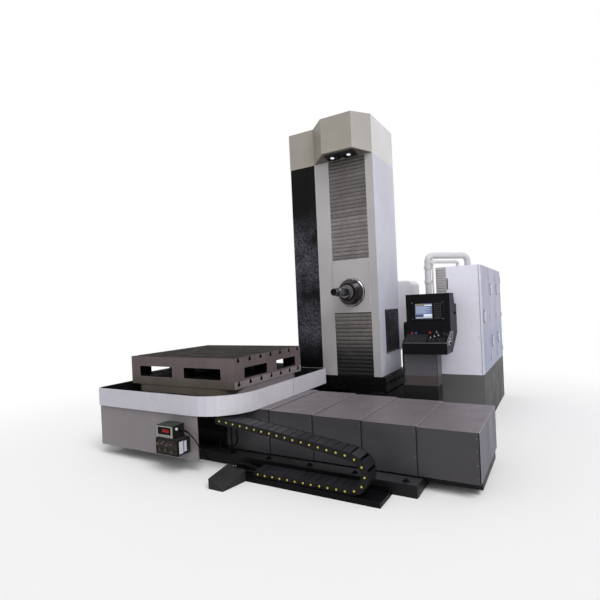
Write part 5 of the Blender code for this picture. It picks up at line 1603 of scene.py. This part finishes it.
lead("coolant_hose_1", hanging_loop(-0.905, -0.745, TRAY_UNDER, 0.150, -0.722), 0.017, "table_saddle")
lead("coolant_hose_2", hanging_loop(-0.870, -0.690, TRAY_UNDER, 0.205, -0.698), 0.018, "table_saddle")

# %% [markdown]
# ## Cables from the duct to the chain
# The sloped duct on the floor ends where the channel begins.  Its cables come out of the duct's
# rear end, bend round and hang across to the last link of the chain.

# %% Channel cables
lead("channel_cable_1", [(-0.540, -0.975, 0.090), (-0.552, -0.951, 0.091), (-0.570, -0.930, 0.091),
                         (-0.594, -0.912, 0.090), (-0.620, -0.892, 0.089), (-0.638, -0.864, 0.088),
                         (-0.642, -0.829, 0.086), (-0.631, -0.797, 0.083), (-0.606, -0.766, 0.080),
                         (-0.572, -0.750, 0.077), (-0.530, -0.748, 0.074), (-0.450, -0.768, 0.069),
                         (-0.345, -0.808, 0.068)], 0.0165, "bed")
lead("channel_cable_2", [(-0.514, -0.975, 0.078), (-0.526, -0.951, 0.081), (-0.545, -0.930, 0.084),
                         (-0.568, -0.911, 0.086), (-0.590, -0.889, 0.087), (-0.604, -0.860, 0.086),
                         (-0.604, -0.827, 0.083), (-0.590, -0.799, 0.079), (-0.566, -0.780, 0.075),
                         (-0.532, -0.774, 0.071), (-0.492, -0.782, 0.068), (-0.430, -0.806, 0.066),
                         (-0.345, -0.834, 0.066)], 0.0155, "bed")
inner_bend = [(-0.410 - 0.085 * math.cos(t), -0.944 + 0.085 * math.sin(t), 0.052) for t in spaced(0.0, math.pi / 2, 5)]
lead("channel_cable_3", [(-0.495, -0.975, 0.052)] + inner_bend + [(-0.385, -0.859, 0.052), (-0.345, -0.859, 0.052)],
     0.018, "bed")

# %% [markdown]
# ## The pendant
# All of the machine is run from this black housing.  Its screen shows lines of positions, soft
# keys stand beside it, and the sloped shelf below holds the keyboard, signal caps and toggle
# switches.  The shelf's pieces are built flat, with X to the right and V up the slope, and one
# matrix lays them on the slope.

# %% Keys, caps, switches and dials of the shelf
SHELF_START = Vector((0.0, 1.060, 1.135))
SHELF_RUN, SHELF_RISE = 0.240, 0.130
SHELF = Matrix.Translation(SHELF_START) @ Matrix.Rotation(math.atan2(SHELF_RISE, SHELF_RUN), 4, "X")
SHELF_EDGE = 1.1045
CAP = (0.0145, 0.013)
KEY_HEIGHT = 0.0035
KEY_BLOCKS = [(spaced(0.045, 0.185, 6), spaced(0.600, 0.835, 10), 0.0085, 0.0095),
              (spaced(0.050, 0.110, 3), spaced(0.985, 1.065, 4), 0.008, 0.008)]
CAPS = [("red_caps", "signal_red", ((0.640, 0.222), (0.864, 0.235))), ("blue_caps", "signal_blue", ((0.690, 0.226),))]
TOGGLES = [(0.892, 0.125), (0.935, 0.150), (0.978, 0.177), (0.944, 0.245)]
DIALS = [(1.040, 0.200), (1.082, 0.175), (0.890, 0.055), (0.940, 0.060)]


def on_shelf(name, bm, finish, **options):
    """Lays a piece that was built flat on the slope."""
    turn_all(bm, 0, SHELF)
    return settle(name, bm, finish, "bed", **options)


def stacked_knobs(bm, place, *stages):
    """Knobs on top of each other, each given as (radius, height) with any further options."""
    base = 0.0
    for radius, height, *steps in stages:
        knob(bm, "z", place, base, radius, height, 1, *steps)
        base += height


def shelf_details():
    keys, toggles, dials, trims = (bmesh.new() for _ in range(4))
    for rows, columns, half_x, half_v in KEY_BLOCKS:
        for v, x in grid(rows, columns):
            slab(keys, (x - half_x, v - half_v, 0.0), (x + half_x, v + half_v, KEY_HEIGHT))
    on_shelf("shelf_keys", keys, "key_grey", bevel=0.0008, segments=1)
    for name, finish, places in CAPS:
        bm = bmesh.new()
        for place in places:
            stacked_knobs(bm, place, CAP)
        on_shelf(name, bm, finish)
    for place in TOGGLES:
        stacked_knobs(toggles, place, (0.0095, 0.003), (0.004, 0.018, 12))
    on_shelf("toggle_switches", toggles, "edge_steel")
    for place in DIALS:
        stacked_knobs(dials, place, (0.017, 0.006), (0.012, 0.016))
    on_shelf("shelf_dials", dials, "lamp_housing")
    slab(trims, (SHELF_EDGE, 0.004, -0.0005), (1.1085, 0.268, 0.0018))
    slab(trims, (0.5625, 0.006, -0.0005), (SHELF_EDGE, 0.0095, 0.0012))
    on_shelf("shelf_trims", trims, "edge_steel")


shelf_details()
print("caps, toggles and dials:", sum(len(cap[2]) for cap in CAPS), len(TOGGLES), len(DIALS))

# %% [markdown]
# ## The screen
# The screen shows a header, lines of positions and a row of soft keys.  Thin bars that glow a
# little stay sharp from any distance, which a picture laid on the glass does not.  They lie a
# fraction of a millimetre proud of the glass, and square keys stand beside and below them.

# %% Screen
FACE_Y = 1.286
SCREEN_Y = 1.292
LINE_LENGTHS = (0.12, 0.17, 0.14, 0.18, 0.11, 0.16, 0.13)
SCREEN_BARS = {
    "screen_header": ("screen_yellow", [(0.686, 1.598, 0.800, 1.616)]),
    "screen_rows": ("screen_white", [(0.800, 1.590, 0.894, 1.602), (0.788, 1.452, 0.893, 1.484),
                                     (0.686, 1.434, 0.893, 1.442)]
                    + [(0.692, z, 0.692 + wide, z + 0.003) for z, wide in zip(spaced(1.578, 1.500, 7), LINE_LENGTHS)]),
    "screen_soft_keys": ("screen_dark", [(0.686, 1.456, 0.784, 1.472)]
                         + [(x, 1.4355, x + 0.002, 1.4405) for x in spaced(0.712, 0.866, 6)]),
}


def screen_key(bm, x, z, half_x, half_z):
    slab(bm, (x - half_x, FACE_Y - 0.003, z - half_z), (x + half_x, FACE_Y + 0.0002, z + half_z))


def screen_details():
    for name, (finish, bars) in SCREEN_BARS.items():
        plates(name, finish, "bed", [((a, SCREEN_Y - 0.0006, b), (c, SCREEN_Y + 0.0002, d)) for a, b, c, d in bars])
    keys = bmesh.new()
    for z, x in grid(spaced(1.432, 1.612, 8), spaced(0.930, 1.000, 4)):
        screen_key(keys, x, z, 0.0085, 0.0085)
    for x in spaced(0.690, 0.890, 9):
        slab(keys, (x - 0.009, FACE_Y - 0.003, 1.4135), (x + 0.009, FACE_Y + 0.0002, 1.4245))
    settle("screen_keys", keys, "key_grey", "bed", bevel=0.0008, segments=1)
    corners = grid((0.645, 1.027), (1.421, 1.629))
    screws("bezel_screws", "bed", "y", FACE_Y, corners, 0.0075, 0.004, -1, "dark_chrome")


screen_details()
print("bars on the screen:", sum(len(bars) for _, bars in SCREEN_BARS.values()))

# %% [markdown]
# ## Side of the housing and the stand
# The housing's right side has a round lock, two sockets on plates and two bright lines, and a
# block of knobs sits at its left.  All of them stand on one flat face, so slabs, outlines and
# knobs with a stated height are enough.  The stand below has edge strips and screws.

# %% Housing and stand
HOUSING_SIDE = 1.110
LOCK_PLACE = (1.565, 1.483)
SOCKET_PLACES = [(1.195, 1.128), (1.263, 1.162)]
SIDE_LINES = [([(1.318, 1.130), (1.330, 1.130), (1.420, 1.262), (1.408, 1.262)], 0.003),
              ([(1.070, 1.108), (1.082, 1.108), (1.350, 1.254), (1.350, 1.270)], 0.002)]
SIDE_SCREW_PLACES = [(1.33, 1.71), (1.50, 1.71), (1.33, 1.30), (1.66, 1.25), (1.66, 1.56)]
SWITCH_BLOCK_X, SWITCH_BLOCK_Y = 0.533, 1.340
STAND_SCREW = (0.006, 0.0025)


def knobs(name, axis, spots):
    """One piece of several knobs on the pendant, each given as (centre, base, radius, height, out, steps)."""
    bm = bmesh.new()
    for spot in spots:
        knob(bm, axis, *spot)
    return settle(name, bm, "rubber", "bed")


def housing_details():
    side = HOUSING_SIDE
    lock = [(side, 0.026, 0.010), (side + 0.010, 0.012, 0.008)]
    knobs("housing_lock", "x", [(LOCK_PLACE, *stage, 1, 24) for stage in lock])
    plates("side_socket_plate", "white_tube", "bed",
           [((side, 1.168, 1.106), (side + 0.003, 1.222, 1.150)),
            ((side, 1.236, 1.140), (side + 0.003, 1.290, 1.184))], bevel=0.001)
    lines = bmesh.new()
    for outline, proud in SIDE_LINES:
        prism(lines, outline, "x", side, side + proud)
    settle("side_lines", lines, "edge_steel", "bed")
    knobs("side_sockets", "x", [(place, side + 0.003, 0.012, 0.012) for place in SOCKET_PLACES])
    screws("housing_side_screws", "bed", "x", side, SIDE_SCREW_PLACES, *STAND_SCREW, finish="lamp_housing")
    knobs("switch_block_knobs", "y",
          [((SWITCH_BLOCK_X, z), SWITCH_BLOCK_Y, 0.016, 0.012, -1) for z in (1.305, 1.235, 1.165)])
    plates("switch_block_cap", "pendant_black", "bed", [((0.508, 1.345, 1.360), (0.558, 1.455, 1.385))],
           bevel=0.003, slot="pendant_black")


def stand_details():
    low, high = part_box("pendant_stand")
    strips = [((a, low.y - 0.0012, 0.62), (b, low.y + 0.0002, high.z - 0.004))
              for a, b in ((low.x, low.x + 0.026), (high.x - 0.006, high.x))]
    plates("stand_strips", "lamp_housing", "bed", strips)
    places = grid((low.x + 0.05, high.x - 0.03), spaced(0.64, 0.96, 3))
    screws("stand_screws", "bed", "y", low.y, places, *STAND_SCREW, -1, "lamp_housing")


housing_details()
stand_details()
print("sockets on the pendant's side:", len(SOCKET_PLACES))

# %% [markdown]
# ## Conduit
# A white rigid conduit takes the pendant's cables over to the cabinet, with coupling rings where
# its lengths join and a flange where it lands.  A thin pipe stands beside it, and from that a
# second pipe runs across, lower than the first, and comes down on its own ring.

# %% Conduit rings and pipes
PIPE = (0.775, 1.653)
THIN_PIPE = (0.838, 1.653)
LANDING = (1.200, 2.150)
SECOND_LANDING = (1.095, 2.000)
PIPE_FOOT, CABINET_ROOF = 1.6003, 2.0903
CONDUIT_RADIUS = 0.0405
COUPLINGS = [(PIPE_FOOT, 0.060, 0.012), (1.880, 0.050, 0.045), (2.075, 0.050, 0.045)]
FLANGE = [(CABINET_ROOF, CONDUIT_RADIUS), (CABINET_ROOF, 0.060), (2.0923, 0.062), (2.1023, 0.062), (2.1043, 0.060),
          (2.1043, CONDUIT_RADIUS)]
THIN_PROFILE = [(PIPE_FOOT, 0.0), (PIPE_FOOT, 0.019), (1.6120, 0.019), (1.6120, 0.0115), (2.2210, 0.0115),
                (2.2210, 0.0)]
SECOND_ROUTE = [(*THIN_PIPE, 2.130), (*THIN_PIPE, 2.148), (0.845, 1.662, 2.162), (0.858, 1.678, 2.168),
                (1.075, 1.975, 2.168), (1.088, 1.991, 2.162), (*SECOND_LANDING, 2.148), (*SECOND_LANDING, CABINET_ROOF)]
SECOND_RING = [(CABINET_ROOF, 0.0225), (CABINET_ROOF, 0.038), (2.1003, 0.038), (2.1003, 0.0225)]


def pipe(bm, points, radius, steps=20):
    """Round pipe along a row of points, closed at both ends."""
    points = [Vector(p) for p in points]
    rings = []
    for before, point, after in zip([points[0]] + points, points, points[1:] + [points[-1]]):
        along = (after - before).normalized()
        across = along.orthogonal() if not rings else (across - along * across.dot(along))
        across.normalize()
        up = along.cross(across)
        rings.append([point + across * a + up * b for a, b in circle(radius, steps)])
    bridge(bm, rings)


def conduit_details():
    rings, thin, second = (bmesh.new() for _ in range(3))
    for z, radius, height in COUPLINGS:
        lathe(rings, "z", PIPE, [(z, CONDUIT_RADIUS), (z, radius - 0.002), (z + 0.002, radius),
                                 (z + height - 0.002, radius), (z + height, radius - 0.002),
                                 (z + height, CONDUIT_RADIUS)], 40, hollow=True)
    lathe(rings, "z", LANDING, FLANGE, 40, hollow=True)
    settle("conduit_rings", rings, "white_tube", "bed", "white_tube")
    lathe(thin, "z", THIN_PIPE, THIN_PROFILE, 24)
    settle("conduit_side_pipe", thin, "white_tube", "bed", "white_tube")
    pipe(second, SECOND_ROUTE, 0.022)
    lathe(second, "z", SECOND_LANDING, SECOND_RING, 28, hollow=True)
    settle("conduit_second_pipe", second, "white_tube", "bed", "white_tube")
    screws("conduit_flange_screws", "bed", "z", 2.1038, around(LANDING, 0.052, 6), 0.0045, 0.003, finish="edge_steel")


conduit_details()
print("coupling rings:", len(COUPLINGS))

# %% [markdown]
# ## Cabinet
# The cabinet is sheet steel.  Its front has a plate with a louvre that lets warm air out and a
# latch beside it, and its long side has three doors, with lock plates, hinges at their far edges
# and a folded seam.  A plinth of three lengths stands below.

# %% Front, sides and plinth
SHEET_SCREW_SIZE = (0.006, 0.002)
LOUVRE_X = (0.870, 0.988)
LOUVRE_COUNT = 13
PLINTH_JOINTS = (0.7183, 1.4366)


def cabinet_front():
    low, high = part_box("cabinet_body")
    face, back = low.y - 0.002, low.y - 0.012
    bm = bmesh.new()
    for z in spaced(1.640, 2.052, LOUVRE_COUNT):
        prism(bm, [(face, z), (face, z + 0.022), (low.y - 0.004, z + 0.022), (back, z + 0.004), (back, z)],
              "x", *LOUVRE_X)
    settle("cabinet_louvre", bm, "light_panel", "bed", "light_panel")
    plates("louvre_plate", "light_panel", "bed", [((0.8605, face, 1.625), (0.994, low.y, 2.086))])
    plates("cabinet_latch", "dark_chrome", "bed", [((1.000, low.y - 0.009, 1.790), (1.012, low.y, 1.940))], bevel=0.002)
    seams = [((a, low.y - 0.0008, low.z + 0.004), (b, low.y + 0.0002, high.z - 0.004))
             for a, b in ((low.x + 0.002, low.x + 0.006), (high.x - 0.006, high.x - 0.002))]
    plates("cabinet_corner_seams", "apron_grey", "bed", seams)
    rows = grid((low.x + 0.025, high.x - 0.025), spaced(0.72, 2.04, 4))
    screws("cabinet_front_screws", "bed", "y", low.y, rows, *SHEET_SCREW_SIZE, -1, "light_panel")
    panels = grid(spaced(low.y + 0.03, high.y - 0.03, 7), (0.72, 2.05))
    screws("cabinet_left_screws", "bed", "x", low.x, panels, *SHEET_SCREW_SIZE, -1, "light_panel")


def cabinet_plinth():
    low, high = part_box("cabinet_plinth")
    rows = grid(spaced(low.y + 0.06, high.y - 0.06, 8), (0.60,))
    screws("plinth_screws", "bed", "x", high.x, rows, 0.007, 0.003, 1, "plinth_grey")
    seams = [((high.x - 0.0003, y - 0.0012, 0.01), (high.x + 0.0006, y + 0.0012, high.z - 0.003))
             for y in (low.y + joint for joint in PLINTH_JOINTS)]
    plates("plinth_seams", "rubber", "bed", seams)


cabinet_front()
print("louvre blades:", LOUVRE_COUNT)

# %% [markdown]
# ## Doors of the cabinet
# Each door turns on three hinges at its far edge, and carries lock plates with a bright cylinder.
# The hinge knuckles and the locks ride on the door's own body, so that they swing with it.  The
# first door has one lock plate, and the others have two.

# %% Doors
DOOR_FACE = 1.420
DOOR_COUNT = 3
LOCK_HEIGHTS = {1: (1.409,), 2: (1.029, 1.779), 3: (1.029, 1.779)}
LOCK_FROM_EDGE = 0.165
LOCK_HALF = (0.026, 0.085)
HINGE_HEIGHTS = (0.80, 1.37, 1.94)
HINGE_HALF, HINGE_GAP = 0.040, 0.001


def door_details(number):
    low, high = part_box(f"cabinet_door_{number}")
    body = f"door_{number}"
    y = low.y + LOCK_FROM_EDGE
    lock, cylinder, hinges = [], bmesh.new(), bmesh.new()
    for z in LOCK_HEIGHTS[number]:
        lock.append(((DOOR_FACE - 0.0005, y - LOCK_HALF[0], z - LOCK_HALF[1]),
                     (DOOR_FACE + 0.003, y + LOCK_HALF[0], z + LOCK_HALF[1])))
        knob(cylinder, "x", (y, z - 0.074), DOOR_FACE + 0.003, 0.0085, 0.004)
    plates(f"door_lock_plate_{number}", "rubber", body, lock, bevel=0.001)
    settle(f"door_lock_{number}", cylinder, "bright_steel", body)
    for z in HINGE_HEIGHTS:
        for start, end in ((z - HINGE_HALF, z - HINGE_GAP), (z + HINGE_GAP, z + HINGE_HALF)):
            knob(hinges, "z", (DOOR_FACE + 0.004, high.y - 0.009), start, 0.0060, end - start, steps=16)
    settle(f"door_hinges_{number}", hinges, "light_panel", body)
    edge = [((DOOR_FACE - 0.0004, high.y - 0.003, low.z), (DOOR_FACE + 0.0012, high.y, high.z))]
    plates(f"door_fold_{number}", "apron_grey", body, edge)


for number in range(1, DOOR_COUNT + 1):
    door_details(number)
cabinet_plinth()
print("doors dressed:", DOOR_COUNT)

# %% [markdown]
# ## Beds and channel
# Both beds are held down by large socket screws with washers on their foot ledges, and the floor
# channel is folded sheet with small screws.  A washer under every screw costs little and gives
# the row the right weight.

# %% Bed bolts and sheet screws
FOOT_LEDGE = 0.110
WASHER_HEIGHT = 0.004
WASHER_SHARE = 1.7
BED_BOLT_RADIUS = 0.019
UNDER_COLUMN = (-1.1, 0.45)
COLUMN_BED_SIDES = (("right", 0.400, 1), ("left", -1.050, -1))
CHANNEL_FLOOR = 0.0387


def anchor_bolts(name, body, base, places, radius, height):
    bm = bmesh.new()
    for place in places:
        knob(bm, "z", place, base, radius * WASHER_SHARE, WASHER_HEIGHT, steps=28)
        bolt(bm, "z", place, base + WASHER_HEIGHT, height, radius)
    return settle(name, bm, "black_casting", body, "black_casting")


FOOT_ROWS = [(x, y) for x, y in grid(spaced(-2.72, 1.08, 9), (-0.625, 0.625))
             if not (y > 0 and UNDER_COLUMN[0] < x < UNDER_COLUMN[1])]
anchor_bolts("bed_foot_bolts", "bed", FOOT_LEDGE, FOOT_ROWS, BED_BOLT_RADIUS, 0.018)
for side, x, out in COLUMN_BED_SIDES:
    row = grid(spaced(0.85, 3.05, 7), (0.09,))
    screws(f"column_bed_bolts_{side}", "bed", "x", x, row, BED_BOLT_RADIUS, 0.016, out, "black_casting")
channel_row = grid(spaced(-0.60, 0.90, 7), (-0.720,))
screws("channel_screws", "bed", "z", CHANNEL_FLOOR, channel_row, 0.007, 0.003, finish="edge_steel")
print("foot bolts:", len(FOOT_ROWS))
